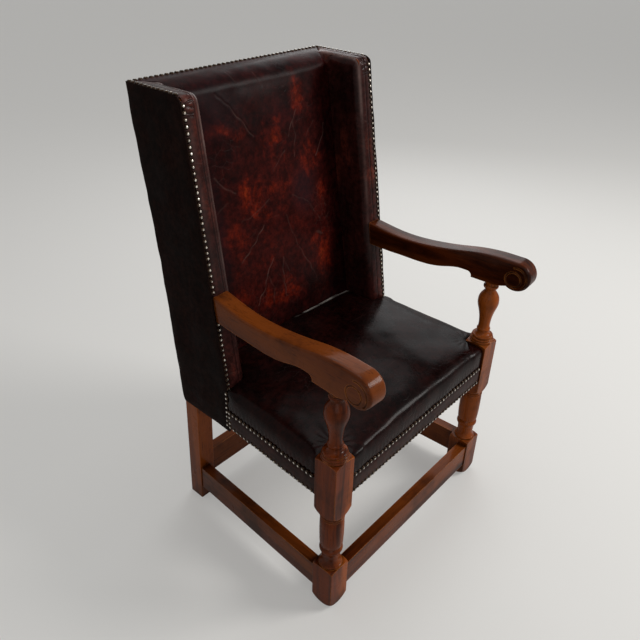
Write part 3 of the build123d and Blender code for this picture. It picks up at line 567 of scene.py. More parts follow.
woodLook = {
    "dark": (0.024, 0.0042, 0.0012), "body": (0.16, 0.029, 0.0046), "light": (0.35, 0.083, 0.0125),
    "dirtAndShade": (0.009, 0.003, 0.0014), "worn": (0.46, 0.145, 0.03), "rough": (0.22, 0.38),
    "wax": 0.14, "shine": 0.03, "waxRough": 0.12,
    "depth": {0: 0.6, 1: 0.56, 2: 1.0},  # how pale the wood is, by the way its grain runs
    # scale across the grain and along it, and how far dirt with painted shade and worn edges reach
    "grain": (26, 1.6), "pores": (420, 14), "broadShare": 0.22, "dirtAndShadeReach": 0.03, "edgeReach": 0.0035,
}


def woodMaterial(name, axis, look):  # the grain runs along one axis
    material, tree, shader, coords = newMaterial(name)
    along, pores = ([wide, wide, wide] for wide, _ in (look["grain"], look["pores"]))
    along[axis], pores[axis] = look["grain"][1], look["pores"][1]
    grain = noiseOf(tree, stretched(tree, coords, along), 1.0, 8, 0.62, 1.2)
    wider = [size * look["broadShare"] for size in along]
    broad = noiseOf(tree, stretched(tree, coords, wider), 1.0, 4, 0.5, 0.6)
    streak = noiseOf(tree, stretched(tree, coords, pores), 1.0, 3, 0.5)
    patch = noiseOf(tree, coords, 9, 4, 0.6)
    colour = blended(tree, ranged(tree, grain, 0.32, 0.62), look["dark"], look["body"])
    colour = blended(tree, ranged(tree, broad, 0.46, 0.64, 0, 0.8), colour, look["light"])
    colour = blended(tree, ranged(tree, streak, 0.56, 0.70, 0, 0.55), colour, look["dark"])
    colour = blended(tree, ranged(tree, patch, 0.50, 0.70, 0, 0.6), colour, look["dirtAndShade"])
    colour = shaded(tree, colour, look["depth"][axis])
    # dirt and painted shade in the recesses, and wax worn off the edges
    recessShade = addNode(tree, "AmbientOcclusion", {"Distance": look["dirtAndShadeReach"]}, samples=6).outputs["AO"]
    colour = blended(tree, ranged(tree, recessShade, 0.40, 0.92, 0.92, 0.0), colour, look["dirtAndShade"])
    rounded = addNode(tree, "Bevel", {"Radius": look["edgeReach"]}, samples=4).outputs[0]
    facing = addNode(tree, "VectorMath", {0: rounded, 1: addNode(tree, "NewGeometry").outputs["Normal"]},
                     operation="DOT_PRODUCT").outputs["Value"]
    edge = ranged(tree, facing, 0.985, 0.80, 0, 1)
    edgeHere = times(tree, edge, ranged(tree, noiseOf(tree, coords, 38, 4), 0.35, 0.60, 0.15, 0.9))
    colour = blended(tree, edgeHere, colour, look["worn"])
    normal = bumped(tree, streak, 0.0003, 0.35)
    normal = bumped(tree, grain, 0.0006, 0.25, normal)
    normal = bumped(tree, noiseOf(tree, coords, 60, 3), 0.0007, 0.3, normal)
    finishLook(tree, shader, look, colour, ranged(tree, patch, 0.3, 0.7, *look["rough"]), normal)
    return material


brassLook = {"tarnish": (0.006, 0.0035, 0.0025), "body": (0.045, 0.028, 0.018), "bright": (0.78, 0.72, 0.64)}


def brassMaterial(name, look):
    material, tree, shader, coords = newMaterial(name)
    crown = painted(tree, "crown")
    tint = painted(tree, "tint")
    grimeAndShade = noiseOf(tree, coords, 260, 4, 0.6)
    body = blended(tree, ranged(tree, grimeAndShade, 0.35, 0.62), look["tarnish"], look["body"])
    # the crown of each nail is painted bright: brass worn bright, and a painted glint
    shine = times(tree, ranged(tree, crown, 0.85, 0.98), ranged(tree, tint, 0.0, 1.0, 0.5, 1.0))
    colour = blended(tree, shine, body, look["bright"])
    rough, normal = ranged(tree, grimeAndShade, 0.3, 0.7, 0.22, 0.40), bumped(tree, grimeAndShade, 0.0003, 0.3)
    feed(tree, shader, {"Base Color": colour, "Metallic": 1.0, "Roughness": rough, "Normal": normal})
    return material


def steelMaterial(name):
    material, tree, shader, coords = newMaterial(name)
    turned = noiseOf(tree, coords, 300, 4)
    colour = blended(tree, turned, (0.20, 0.19, 0.18), (0.42, 0.41, 0.39))
    rough = ranged(tree, turned, 0.3, 0.7, 0.35, 0.55)
    feed(tree, shader, {"Base Color": colour, "Metallic": 1.0, "Roughness": rough})
    return material


def wovenMaterial(name, warpColour, weftColour, pitch, plane):  # plain weave across the two axes of a plane
    material, tree, shader, coords = newMaterial(name)
    split = addNode(tree, "SeparateXYZ", {0: coords})
    waves = [sums(tree, "SINE", times(tree, split.outputs[axis], 2 * pi / pitch)) for axis in plane]
    over = ranged(tree, times(tree, *waves), -0.2, 0.2)
    height = sums(tree, "ADD", *(sums(tree, "ABSOLUTE", wave) for wave in waves))
    colour = blended(tree, over, warpColour, weftColour)
    dusty = ranged(tree, noiseOf(tree, coords, 40, 5), 0.3, 0.7, 0.6, 1.15)
    feed(tree, shader, {"Base Color": shaded(tree, colour, dusty), "Roughness": 0.9,
                        "Sheen Weight": 0.2, "Normal": bumped(tree, height, 0.0006, 0.8)})
    return material


leathers = {key: leatherMaterial(key + "Leather", look) for key, look in leatherLooks.items()}
woods = {axis: woodMaterial("wood" + "XYZ"[axis], axis, woodLook) for axis in (0, 1, 2)}
brass = brassMaterial("agedBrass", brassLook)
steel = steelMaterial("screwSteel")
jute = wovenMaterial("juteWebbing", (0.30, 0.21, 0.11), (0.22, 0.15, 0.08), 0.0022, (0, 1))
sacking = wovenMaterial("hessian", (0.26, 0.19, 0.11), (0.33, 0.25, 0.15), 0.0016, (0, 1))
print("materials")


# Timber

timber = {
    # piece: its CAD node and the axis of its grain
    "frontLegLeft": ("front_leg_left", 2), "frontLegRight": ("front_leg_right", 2),
    "backPostLeft": ("back_post_left", 2), "backPostRight": ("back_post_right", 2),
    "armLeft": ("left_arm", 1), "armRight": ("right_arm", 1),
    "stretcherFront": ("front_stretcher", 0), "stretcherRear": ("rear_stretcher", 0),
    "stretcherLeft": ("left_stretcher", 1), "stretcherRight": ("right_stretcher", 1),
}
innerTimber = {
    "front_seat_rail": 0, "rear_seat_rail": 0, "left_seat_rail": 1, "right_seat_rail": 1, "corner_blocks": 0,
    "back_top_rail": 0, "back_lower_rail": 0, "wing_post_left": 2, "wing_post_right": 2,
    "wing_top_rail_left": 1, "wing_top_rail_right": 1,
}

for name, (node, axis) in timber.items():
    piece = copyOf(name, node)
    smooth(piece, 30)
    finishPiece(piece, woods[axis], "show_wood", node)
for node, axis in innerTimber.items():
    dress(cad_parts[node], woods[axis])
dress(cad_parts["corner_block_screws"], steel)
print("timber")


# Nails

nailShape = {
    "radius": 0.0055, "dome": 0.0032, "segments": 12, "rings": 8,
    "lean": 3.0, "sink": 0.0003, "size": (0.94, 1.03),  # how unevenly they were driven
}
nailRows = {
    "nailsSeatFront": "seat_front_nails", "nailsSeatLeft": "left_seat_nails",
    "nailsSeatRight": "right_seat_nails", "nailsWingLeft": "wing_nails_left",
    "nailsWingRight": "wing_nails_right", "nailsBackTop": "back_top_nails",
    "nailsWingTopLeft": "wing_top_nails_left", "nailsWingTopRight": "wing_top_nails_right",
}


def nailPlaces(node):  # each nail's seat and the way it points, in the order of the mesh
    shell = bmesh.new()
    shell.from_mesh(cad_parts[node].data)
    bmesh.ops.remove_doubles(shell, verts=shell.verts, dist=workshop["weld"])
    shell.verts.index_update()
    seen = set()
    places = []
    for start in shell.verts:
        if start.index in seen:
            continue
        seen.add(start.index)
        queue = [start]
        spots = []
        while queue:
            point = queue.pop()
            spots.append(point.co[:])
            for edge in point.link_edges:
                other = edge.other_vert(point)
                if other.index not in seen:
                    seen.add(other.index)
                    queue.append(other)
        spots = np.array(spots)
        middle = spots.mean(axis=0)
        way = np.linalg.svd(spots - middle)[2][2]
        heights = (spots - middle) @ way
        reach = np.linalg.norm(spots - middle - np.outer(heights, way), axis=1)
        if heights[reach > 0.95 * reach.max()].mean() > 0:  # the rim lies lowest
            way, heights = -way, -heights
        seat = spots[heights < heights.min() + nailShape["dome"] / 10].mean(axis=0)
        places.append((Vector(seat), Vector(way)))
    shell.free()
    return places


def makeNail():  # a low dome, closed underneath
    bpy.ops.mesh.primitive_uv_sphere_add(segments=nailShape["segments"], ring_count=nailShape["rings"],
                                         radius=nailShape["radius"])
    piece = bpy.context.object
    editAll(piece, bpy.ops.mesh.bisect, plane_co=(0, 0, 0), plane_no=(0, 0, 1), clear_inner=True,
            use_fill=True)
    flatter = nailShape["dome"] / nailShape["radius"]
    editAll(piece, bpy.ops.transform.resize, value=(1, 1, flatter), center_override=(0, 0, 0))
    paint(piece, "crown", pointsOf(piece)[:, 2] / nailShape["dome"])
    return piece


nailPattern = makeNail()
nailSpots = {}
dice = np.random.default_rng(11)
for name, node in nailRows.items():
    places = nailPlaces(node)
    nailSpots[node] = np.array([place[:] for place, _ in places])
    made = []
    for place, way in places:
        one = newPiece(name, nailPattern.data.copy())
        lean = Matrix.Rotation(radians(dice.normal(0, nailShape["lean"])), 4, "X")
        lean = lean @ Matrix.Rotation(radians(dice.normal(0, nailShape["lean"])), 4, "Y")
        size = Matrix.Scale(dice.uniform(*nailShape["size"]), 4)
        seat = Matrix.Translation(place - way * dice.uniform(0, nailShape["sink"]))
        one.data.transform(seat @ way.to_track_quat("Z", "Y").to_matrix().to_4x4() @ lean @ size)
        paint(one, "tint", np.full(len(one.data.vertices), dice.uniform(0, 1)))
        made.append(one)
    piece = joined(name, made)
    smooth(piece, 60)
    finishPiece(piece, brass, "nails", node)
bpy.data.objects.remove(nailPattern)
allNails = np.concatenate(list(nailSpots.values()))
print("nails", len(allNails))


def nailPull(points, reach=0.007):  # how strongly the nearest nail holds the leather down
    best = np.full(len(points), np.inf)
    for spot in allNails:
        best = np.minimum(best, ((points - spot) ** 2).sum(axis=1))
    return np.exp(-best / reach ** 2)


# Tight leather over the frame

skin = {
    # sizes of the unevenness; how deep and how wide the nails pull the leather in; the edges' reach
    "uneven": (0.11, 0.035), "pull": 0.0010, "worn": 0.012, "grimeAndShade": 0.0085, "edge": 0.012, "wornEdge": 0.010,
}
skins = {
    # piece: node, look, slicing (x, y, z), the outward side, swell between the edges, unevenness
    "seatBandFront": ("front_seat_band", "band", (0.005, 0, 0.005), (0, -1, 0), 0.0016, 0.0006),
    "seatBandLeft": ("left_seat_band", "band", (0, 0.005, 0.005), (1, 0, 0), 0.0016, 0.0006),
    "seatBandRight": ("right_seat_band", "band", (0, 0.005, 0.005), (-1, 0, 0), 0.0016, 0.0006),
    "wingSideLeft": ("outside_wing_leather_left", "side", (0, 0.010, 0.010), (1, 0, 0), 0.0022, 0.0012),
    "wingSideRight": ("outside_wing_leather_right", "side", (0, 0.010, 0.010), (-1, 0, 0), 0.0022, 0.0012),
    "backOutside": ("outside_back_leather", "side", (0.012, 0, 0.012), (0, 1, 0), 0.0025, 0.0015),
}


def edgeShare(points, low, high, reach, skip):  # 0 at the piece's own edges, 1 well inside it
    share = np.ones(len(points))
    for axis in range(3):
        if axis != skip:
            share *= step(points[:, axis], low[axis], low[axis] + reach)
            share *= step(-points[:, axis], -high[axis], -high[axis] + reach)
    return share


for name, (node, look, slices, outward, swell, uneven) in skins.items():
    piece = copyOf(name, node)
    joinFlats(piece)
    for axis, size in enumerate(slices):
        if size:
            slicePiece(piece, axis, size)
    points, normals = pointsOf(piece), normalsOf(piece)
    low, high = points.min(axis=0), points.max(axis=0)
    facing = step(normals @ (np.array(outward) / np.linalg.norm(outward)), 0.35, 0.75)
    skip = int(np.argmax(np.abs(outward)))
    broad, narrow = skin["uneven"]
    lift = swell * edgeShare(points, low, high, skin["edge"], skip)
    lift = lift + uneven * ripple(points, broad, len(name) + skip)
    lift += 0.35 * uneven * ripple(points, narrow, len(name) + 7)
    lift -= skin["pull"] * nailPull(points)
    movePoints(piece, points + normals * (lift * facing)[:, None])
    smooth(piece)
    rim = 1 - edgeShare(points, low, high, skin["wornEdge"], skip)
    wornEdge = nailPull(points, skin["worn"]) * 0.5 + 0.5 * rim
    paint(piece, "worn", np.clip(wornEdge * 0.6 + 0.2 * ripple(points, 0.2, 3), 0, 1))
    if look == "band":
        # painted sheen on the bands
        paint(piece, "paintedSheen", np.clip(0.14 + 0.2 * ripple(points, 0.13, 9), 0, 1))
    # painted shade round the nails, with grime
    paint(piece, "grimeAndShade", nailPull(points, skin["grimeAndShade"]))
    finishPiece(piece, leathers[look], "leather", node)
print("tight leather")


# Padded pieces

padding = {"pressure": 4.0, "frames": 20, "tension": 30.0, "bending": 12.0, "quality": 4, "ease": 14}


def eased(piece, values, rounds):  # each point's values drawn towards its neighbours
    pairs = np.empty(len(piece.data.edges) * 2, dtype=int)
    piece.data.edges.foreach_get("vertices", pairs)
    first, second = pairs.reshape(-1, 2).T
    size = len(values)
    count = np.maximum(np.bincount(pairs, minlength=size), 1)
    for _ in range(rounds):
        around = [np.bincount(first, row[second], size) + np.bincount(second, row[first], size)
                  for row in values.T]
        values = values * 0.4 + np.stack(around, axis=1) / count[:, None] * 0.6
    return values


def swellPad(piece, held, cap):  # cloth under pressure, held where it is tacked; its motion is capped
    start = pointsOf(piece)
    group = piece.vertex_groups.new(name="tacked")
    for level in (0.25, 0.5, 0.75, 1.0):
        members = np.nonzero(held >= level)[0].tolist()
        if members:
            group.add(members, level, "REPLACE")
    pick(piece)
    cloth = piece.modifiers.new("Cloth", "CLOTH")
    cloth.settings.vertex_group_mass = "tacked"
    cloth.settings.use_pressure = True
    cloth.settings.uniform_pressure_force = padding["pressure"]
    cloth.settings.effector_weights.gravity = 0
    cloth.settings.tension_stiffness = padding["tension"]
    cloth.settings.compression_stiffness = padding["tension"]
    cloth.settings.bending_stiffness = padding["bending"]
    cloth.settings.quality = padding["quality"]
    cloth.point_cache.frame_start = 1
    cloth.point_cache.frame_end = padding["frames"]
    for number in range(1, padding["frames"] + 1):
        bpy.context.scene.frame_set(number)
    bpy.ops.object.modifier_apply(modifier="Cloth")
    bpy.context.scene.frame_set(1)
    moved = eased(piece, pointsOf(piece) - start, padding["ease"])
    far = np.linalg.norm(moved, axis=1)
    far[far == 0] = 1e-9
    share = cap * np.tanh(far / cap) / far * (1 - held)
    movePoints(piece, start + moved * share[:, None])
    piece.vertex_groups.clear()


def wallPiece(piece, thickness):  # gives an open skin its thickness, inwards
    applyModifier(piece, "SOLIDIFY", thickness=thickness, offset=-1)


seatPad = {
    "voxel": 0.0062, "cap": 0.007, "softening": 12, "thickness": 0.0022, "fill": 0.85,
    # where each change starts and ends, in millimetres: the soft edge, and what is held while it swells
    "softUp": (418, 434), "softAside": (214, 226), "softAhead": (40, 52), "softBack": (280, 300),
    "footHeld": (396, 404), "wingHeld": (308, 316), "wingGap": (6, 1), "backHeld": (400, 408),
    "legCorner": (261, 29.5), "legHeld": (1, 5),
    "footZone": 399, "lowest": 6,  # what is brought down to the bands, and what is cut away underneath
    "puckers": {"middle": (262, 28), "count": 15, "reach": 34, "deep": 0.0008},
    "folds": {"apart": 12.9, "height": 396, "reach": 16, "deep": 0.0006},
    "sat": {"middle": (-10, 190), "size": (170, 130)},
    "rim": (436, 448), "rubBack": (399, 403), "rubAside": (10, 60),
}


def makeSeat():
    pad = seatPad
    piece = copyOf("seatPad", "seat_leather", "seat_stuffing")
    # the stuffing's underside goes down to the foot of the leather, so that the remesh finds one block
    foot = drawing["bandHigh"] + drawing["gap"]
    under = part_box("seat_stuffing")[0].z
    editFaces(piece, lambda face: face.normal[2] < -0.9 and abs(face.center[2] - under) < mm,
              bpy.ops.transform.translate, value=(0, 0, foot * mm - under))
    applyModifier(piece, "REMESH", mode="VOXEL", voxel_size=pad["voxel"])
    # the leather turns over the front and side edges in a soft roll
    points = pointsOf(piece)
    x, y, z = drawnParts(piece)
    x = np.abs(x)
    byLeg = step(x, *pad["softAside"]) * fade(y, *pad["softAhead"])
    soft = step(z, *pad["softUp"]) * (1 - byLeg) * fade(y, *pad["softBack"])
    points = points + (eased(piece, points, pad["softening"]) - points) * soft[:, None]
    movePoints(piece, points)
    wide, narrow = (insideHalf(z) - gap for gap in pad["wingGap"])
    aside, ahead = pad["legCorner"]
    held = np.maximum(fade(z, *pad["footHeld"]), step(x, wide, narrow) * step(y, *pad["wingHeld"]))
    held = np.maximum(held, step(y, *pad["backHeld"]))
    held = np.maximum(held, fade(np.maximum(np.maximum(aside - x, y - ahead), 0), *pad["legHeld"]))
    swellPad(piece, held, pad["cap"])
    applyModifier(piece, "SUBSURF", levels=1, render_levels=1)
    # the underside is open to the webbing
    lowest = (drawing["bandHigh"] + pad["lowest"]) * mm
    editFaces(piece, lambda face: face.normal[2] < -0.7 and face.center[2] < lowest,
              bpy.ops.mesh.delete, type="FACE")
    points, normals = pointsOf(piece), normalsOf(piece)
    across, y, z = drawnParts(piece)
    x = np.abs(across)
    # its foot comes down to the bands
    zone, lowest = pad["footZone"], z.min()
    near = z < zone
    points[near, 2] = (foot + (z[near] - lowest) * (zone - foot) / (zone - lowest)) * mm
    top = step(normals[:, 2], 0.5, 0.9)
    wall = 1 - top
    lift = top * (0.0011 * ripple(points, 0.16, 21) + 0.0005 * ripple(points, 0.06, 22))
    # puckers that fan out from the legs' squares
    fan = pad["puckers"]
    aside, ahead = x - fan["middle"][0], y - fan["middle"][1]
    fromLeg = np.hypot(aside, ahead)
    turn = np.arctan2(ahead, aside)
    wave = np.sin(turn * fan["count"] + 0.4 * np.sin(fromLeg * 0.06))
    lift += fan["deep"] * wave * hump(fromLeg, fan["reach"])
    # folds drawn up from the nails
    folds = pad["folds"]
    along = np.where(normals[:, 1] < -0.5, across, y)
    wave = np.sin(along * 2 * pi / folds["apart"])
    lift += wall * folds["deep"] * wave * hump(z - folds["height"], folds["reach"])
    lift += wall * 0.0008 * ripple(points, 0.09, 23)
    lift -= 0.0008 * nailPull(points)
    movePoints(piece, points + normals * lift[:, None])
    wallPiece(piece, pad["thickness"])
    smooth(piece, 60)
    points = pointsOf(piece)
    x, y, z = drawnParts(piece)
    (middleX, middleY), (wide, deep) = pad["sat"]["middle"], pad["sat"]["size"]
    sat = hump(x - middleX, wide) * hump(y - middleY, deep)
    paint(piece, "worn", np.clip(0.25 * sat + 0.35 * ripple(points, 0.17, 31) - 0.1, 0, 1))
    # painted sheen on the walls below the rim
    paint(piece, "paintedSheen", np.clip(0.18 * fade(z, *pad["rim"]) + 0.10 * ripple(points, 0.1, 32), 0, 1))
    # a pale line along the back, partly finish rubbed off and partly a painted highlight
    paleWearAndSheen = step(y, *pad["rubBack"]) * step(x, *pad["rubAside"])
    paint(piece, "wearAndGlint", paleWearAndSheen * step(ripple(points, 0.05, 33), -0.5, 0.3))
    finishPiece(piece, leathers["seat"], "leather", "seat_leather", "seat_stuffing")


makeSeat()
print("seat")


backPad = {
    # columns, and rows up the face, over the roll and on to the rear edge; columns and rows held at its edges
    "across": 76, "up": 84, "roll": 11, "over": 2, "heldSides": 5, "heldEnds": 4,
    "cap": 0.006, "fill": 0.8, "depth": 16, "skin": 2.4,
    # creases of the hide, across and up in millimetres, each with its strength
    "creases": [
        (0.9, [(-127, 1054), (-87, 1013), (-41, 949)]), (0.4, [(-71, 1086), (-64, 1067)]),
        (0.4, [(-2, 1076), (7, 1049)]), (0.7, [(105, 983), (88, 961), (69, 930)]),
        (0.4, [(162, 946), (129, 917)]),
        (1.0, [(200, 933), (192, 904), (158, 862)]), (0.6, [(51, 898), (6, 862)]),
        (0.5, [(88, 961), (92, 925), (80, 880)]),
        (0.8, [(-168, 884), (-149, 860), (-117, 840)]), (1.0, [(-49, 743), (-84, 710), (-130, 675)]),
        (1.0, [(-29, 653), (-58, 620), (-67, 593), (-99, 551)]), (0.8, [(2, 642), (-4, 589), (0, 538)]),
        (0.7, [(63, 648), (102, 581)]), (0.4, [(167, 757), (178, 727)]),
        (0.5, [(-20, 800), (-60, 780), (-110, 768)]),
        (0.4, [(60, 790), (110, 760), (150, 700)]), (0.4, [(30, 745), (48, 690), (60, 655)]),
        (0.4, [(-58, 620), (-40, 580), (-46, 540)]), (0.4, [(102, 581), (118, 540)]),
        (0.4, [(2, 642), (20, 600)]),
    ],
    # worn patches: across, up, half width, half height, strength
    "patches": [
        (-59, 819, 80, 70, 1.0), (-113, 977, 50, 36, 0.8), (6, 948, 46, 40, 0.95), (109, 1015, 30, 56, 1.0),
        (122, 862, 60, 46, 0.8), (-129, 719, 56, 76, 0.6), (150, 600, 60, 90, 0.9), (-30, 556, 100, 46, 0.8),
        (165, 760, 36, 70, 0.7), (40, 850, 80, 50, 0.5), (-60, 650, 70, 70, 0.5), (0, 800, 190, 260, 0.42),
        (-140, 600, 60, 60, 0.6), (60, 700, 70, 60, 0.4),
    ],
    # and patches of painted sheen
    "sheenPatches": [(100, 795, 46, 62, 0.6), (-150, 1030, 90, 70, 0.5), (-190, 760, 34, 160, 0.5),
              (60, 990, 60, 40, 0.25)],
    "creaseWidth": 1.3, "creaseColour": 0.55,
    # the painted sheen on the top, and the painted shade under the roll: where it starts and ends going up,
    # and where it thins aside
    "topSheen": 0.20, "topFrom": (1058, 1086),
    "dark": 0.55, "darkFrom": (960, 1035), "darkTo": (1060, 1080), "darkAside": (60, 120),
}


def patchReach(places, x, z, wide, high):  # 0 in the middle of a patch, 1 at its edge
    return np.hypot((places[:, 0] - x) / wide, (places[:, 1] - z) / high)


def makeBack():
    # the skin from the foot up the face, over the roll and back to the rear edge; a grid across and along it
    acrossCount = backPad["across"]
    top, high, deep, foot = drawing["top"], drawing["rollHigh"], drawing["rollDeep"], drawing["padFoot"]
    lead = padLine(top - high)
    profile = []
    for share in np.linspace(0, 1, backPad["up"] + 1):
        z = foot + (top - high - foot) * share
        crown = drawing["padCrown"] * 4 * share * (1 - share)
        profile.append((padLine(z), z, crown, -1.0, 0.15, backPad["depth"]))
    for turn in np.linspace(0, pi / 2, backPad["roll"] + 1)[1:]:
        y = lead + deep * (1 - cos(turn))
        z = top - high + high * sin(turn)
        profile.append((y, z, 0, -cos(turn), sin(turn), backPad["depth"] * cos(turn) ** 2))
    for share in np.linspace(0, 1, backPad["over"] + 1)[1:]:
        profile.append((lead + deep + (backLine(top) - lead - deep) * share, top, 0, 0.0, 1.0, 0))
    across = np.linspace(-1, 1, acrossCount + 1)
    front, behind = [], []
    for y, z, crown, wayY, wayZ, depth in profile:
        half = mitreLine(y) - 1 if y > drawing["padTopY"] else insideHalf(z) - drawing["gap"]
        sunk = (1 - rounded(half * (1 - np.abs(across)) / drawing["valleyWide"])) * valleyDepth(y)
        x = across * half
        row = np.stack([x, y - crown * (1 - (x / outsideHalf(foot)) ** 2), z - sunk], axis=1)
        front.append(row)
        thick = (backPad["skin"] + depth * np.clip(4 * (1 - across ** 4), 0, 1)) / np.hypot(wayY, wayZ)
        behind.append(row - np.outer(thick, (0, wayY, wayZ)))
    rowCount, columnCount = len(profile), acrossCount + 1
    total = rowCount * columnCount

    def spot(row, column, isBehind):
        return row * columnCount + column + (total if isBehind else 0)

    faces = []
    for row in range(rowCount - 1):
        for column in range(acrossCount):
            corners = [(row, column), (row, column + 1), (row + 1, column + 1), (row + 1, column)]
            faces.append([spot(*corner, False) for corner in corners])
            faces.append([spot(*corner, True) for corner in reversed(corners)])
    edge = [(0, c) for c in range(columnCount)] + [(r, acrossCount) for r in range(1, rowCount)]
    edge += [(rowCount - 1, c) for c in range(acrossCount - 1, -1, -1)]
    edge += [(r, 0) for r in range(rowCount - 2, 0, -1)]
    for first, second in zip(edge, edge[1:] + edge[:1]):
        faces.append([spot(*second, False), spot(*first, False), spot(*first, True), spot(*second, True)])
    mesh = bpy.data.meshes.new("backPad")
    mesh.from_pydata(inFrame(np.concatenate(front + behind)).tolist(), [], faces)
    mesh.update()
    piece = newPiece("backPad", mesh)
    rowNumber, columnNumber = np.divmod(np.arange(total), columnCount)
    sides, ends = backPad["heldSides"], backPad["heldEnds"]
    lastFree = rowCount - backPad["over"] - 1
    free = step(np.minimum(columnNumber, acrossCount - columnNumber), 0, sides)
    free = free * step(rowNumber, 0, ends) * fade(rowNumber, lastFree - ends, lastFree)
    free = np.concatenate([free, np.zeros(total)])
    swellPad(piece, 1 - free, backPad["cap"])
    # finer on the face, where it shows
    paint(piece, "free", free)
    paint(piece, "front", np.arange(total * 2) < total)
    applyModifier(piece, "SUBSURF", levels=1, render_levels=1)
    isFront = painting(piece, "front") > 0.99
    makeFiner(piece, isFront)
    free, isFront = painting(piece, "free"), painting(piece, "front") > 0.99
    points = pointsOf(piece)
    flat = inDrawing(points)[:, [0, 2]]
    lift = 0.0010 * ripple(points, 0.15, 41) + 0.0004 * ripple(points, 0.05, 42)
    crease = np.zeros(len(points))
    wander = flat + 2.5 * np.stack([ripple(flat, 40, 51), ripple(flat, 34, 52)], axis=1)
    for strength, line in backPad["creases"]:
        near = nearLine(wander, line)
        crease = np.maximum(crease, strength * hump(near, backPad["creaseWidth"]))
        lift += strength * mm * (0.22 * hump(near - 5, 4) - 0.35 * hump(near, 2))
    movePoints(piece, points + normalsOf(piece) * (lift * free * isFront)[:, None])
    smooth(piece, 60)
    worn = np.zeros(len(points))
    wander = flat + np.stack([16 * ripple(flat, 80, 61) + 6 * ripple(flat, 24, 62),
                              22 * ripple(flat, 90, 63) + 8 * ripple(flat, 26, 64)], axis=1)
    for *place, strength in backPad["patches"]:
        worn = np.maximum(worn, strength * (1 - step(patchReach(wander, *place), 0.2, 1.35)))
    across, up = flat.T
    # painted sheen on the top and in patches
    paintedSheen = backPad["topSheen"] * step(up, *backPad["topFrom"])
    for *place, strength in backPad["sheenPatches"]:
        paintedSheen = np.maximum(paintedSheen, strength * (1 - step(patchReach(flat, *place), 0.2, 1.4)))
    # painted shade under the roll, lighter towards one side
    under = step(up, *backPad["darkFrom"]) * (1 - step(up, *backPad["darkTo"]))
    under *= 1 - 0.6 * step(across, *backPad["darkAside"])
    crease *= isFront * backPad["creaseColour"] * (0.6 + 0.4 * ripple(flat, 30, 65))
    under *= backPad["dark"]
    for name, values in (("worn", worn), ("paintedSheen", paintedSheen), ("grimeAndShade", under), ("crease", crease)):
        paint(piece, name, values)
    finishPiece(piece, leathers["hide"], "leather", "inside_back_leather", "back_stuffing")


makeBack()
print("back")


wingPad = {
    "voxel": 0.0045, "cap": 0.005, "fill": 0.8, "skin": 2.0, "lidDeep": 0.02,
    "roll": {"left": (24, 16), "right": (16, 13)},  # inwards and to the rear
    # how far the inside is plumped out and the front swells, and the mitre's reach
    "plump": 4.5, "swell": 1.4, "mitreReach": 14,
    # where the plumped part starts and ends: from the front edge, from the back, from the top and up
    "plumpAhead": (-6, 40), "plumpBack": (0, 50), "plumpTop": (-4, 45), "plumpUp": (440, 500),
    "sunkFrom": (478, 508),
    # and the part that swells under pressure
    "freeAhead": (9, 32), "freeBack": (2, 24), "freeTop": (1060, 1080), "freeUp": (440, 470),
    "freeFace": (1.5, 3.5),
    # folds round the top corner: how far behind the front edge and up, depth and width
    "pleats": [(2, 1060, 1.0, 3.0), (3, 1068, 1.4, 2.6), (5, 1076, 1.5, 2.6), (10, 1084, 1.5, 2.6),
               (19, 1090, 1.2, 3.0), (1, 1050, 0.7, 3.4)],
}


def rimDepth(y, z):  # how far a place is inside the wing's outline, and the way in along y and z
    ahead, below, corner = y - wingLine(z), drawing["top"] - z, drawing["corner"]
    inCorner = (ahead < corner) & (below < corner)
    away = np.maximum(np.hypot(corner - ahead, corner - below), 1e-6)
    depth = np.where(inCorner, corner - away, np.minimum(ahead, below))
    wayY = np.where(inCorner, (corner - ahead) / away, (ahead <= below) * 1.0)
    wayZ = np.where(inCorner, (below - corner) / away, (ahead > below) * -1.0)
    return depth, wayY, wayZ


def roundWing(half, y, z, rollIn, rollFront):
    # rolls the edges over, plumps the inside and sinks the top where it meets the back
    pad = wingPad
    depth, wayY, wayZ = rimDepth(y, z)
    inward = half - insideHalf(z)
    inShare = 1 - inward / rollIn
    frontShare = 1 - depth / rollFront
    reach = np.hypot(inShare, frontShare)
    over = (inShare > 0) & (frontShare > 0) & (reach > 0.75)
    reach[~over] = 1
    newInward = np.where(over, rollIn * (1 - inShare / reach), inward)
    deeper = np.where(over, rollFront * (1 - frontShare / reach) - depth, 0)
    y, z = y + wayY * deeper, z + wayZ * deeper
    plump = step(y - wingLine(z), *pad["plumpAhead"]) * step(padLine(z) - y, *pad["plumpBack"])
    plump *= step(drawing["top"] - z, *pad["plumpTop"]) * step(z, *pad["plumpUp"])
    newInward -= pad["plump"] * plump * (1 - np.clip(newInward / rollIn, 0, 1))
    # the top strip comes in to the mitre, and sinks there
    half = insideHalf(z) + newInward
    nearCut = 1 - np.clip((half - cutLine(y)) / pad["mitreReach"], 0, 1)
    newInward -= (cutLine(y) - mitreLine(y)) * nearCut * (z > 1060)
    beyond = insideHalf(z) + newInward - mitreLine(y)
    valley = rollLine(y) - valleyDepth(y)
    limit = valley + (drawing["top"] - valley) * rounded(beyond / drawing["valleyWide"])
    z = z - step(y, *pad["sunkFrom"]) * np.maximum(z - limit, 0) * (z > 1000)
    return insideHalf(z) + newInward, y, z


def pleatFolds(half, y, z, inward, deepest):  # the folds round the top corner, each at its depth or all alike
    fold = np.zeros(len(z))
    for behind, up, deep, wide in wingPad["pleats"]:
        bend = 3.5 * np.sin(half * 0.12 + up)
        away = np.hypot(z - up - bend, np.maximum(np.abs(y - wingLine(z) - behind) - 6, 0))
        fold = np.maximum(fold, (deep if deepest else 1.0) * hump(away, wide) * step(inward, 16, 24))
    return fold


def placeWing(piece, sign, half, y, z):
    movePoints(piece, inFrame(np.stack([sign * half, y, z], axis=1)))


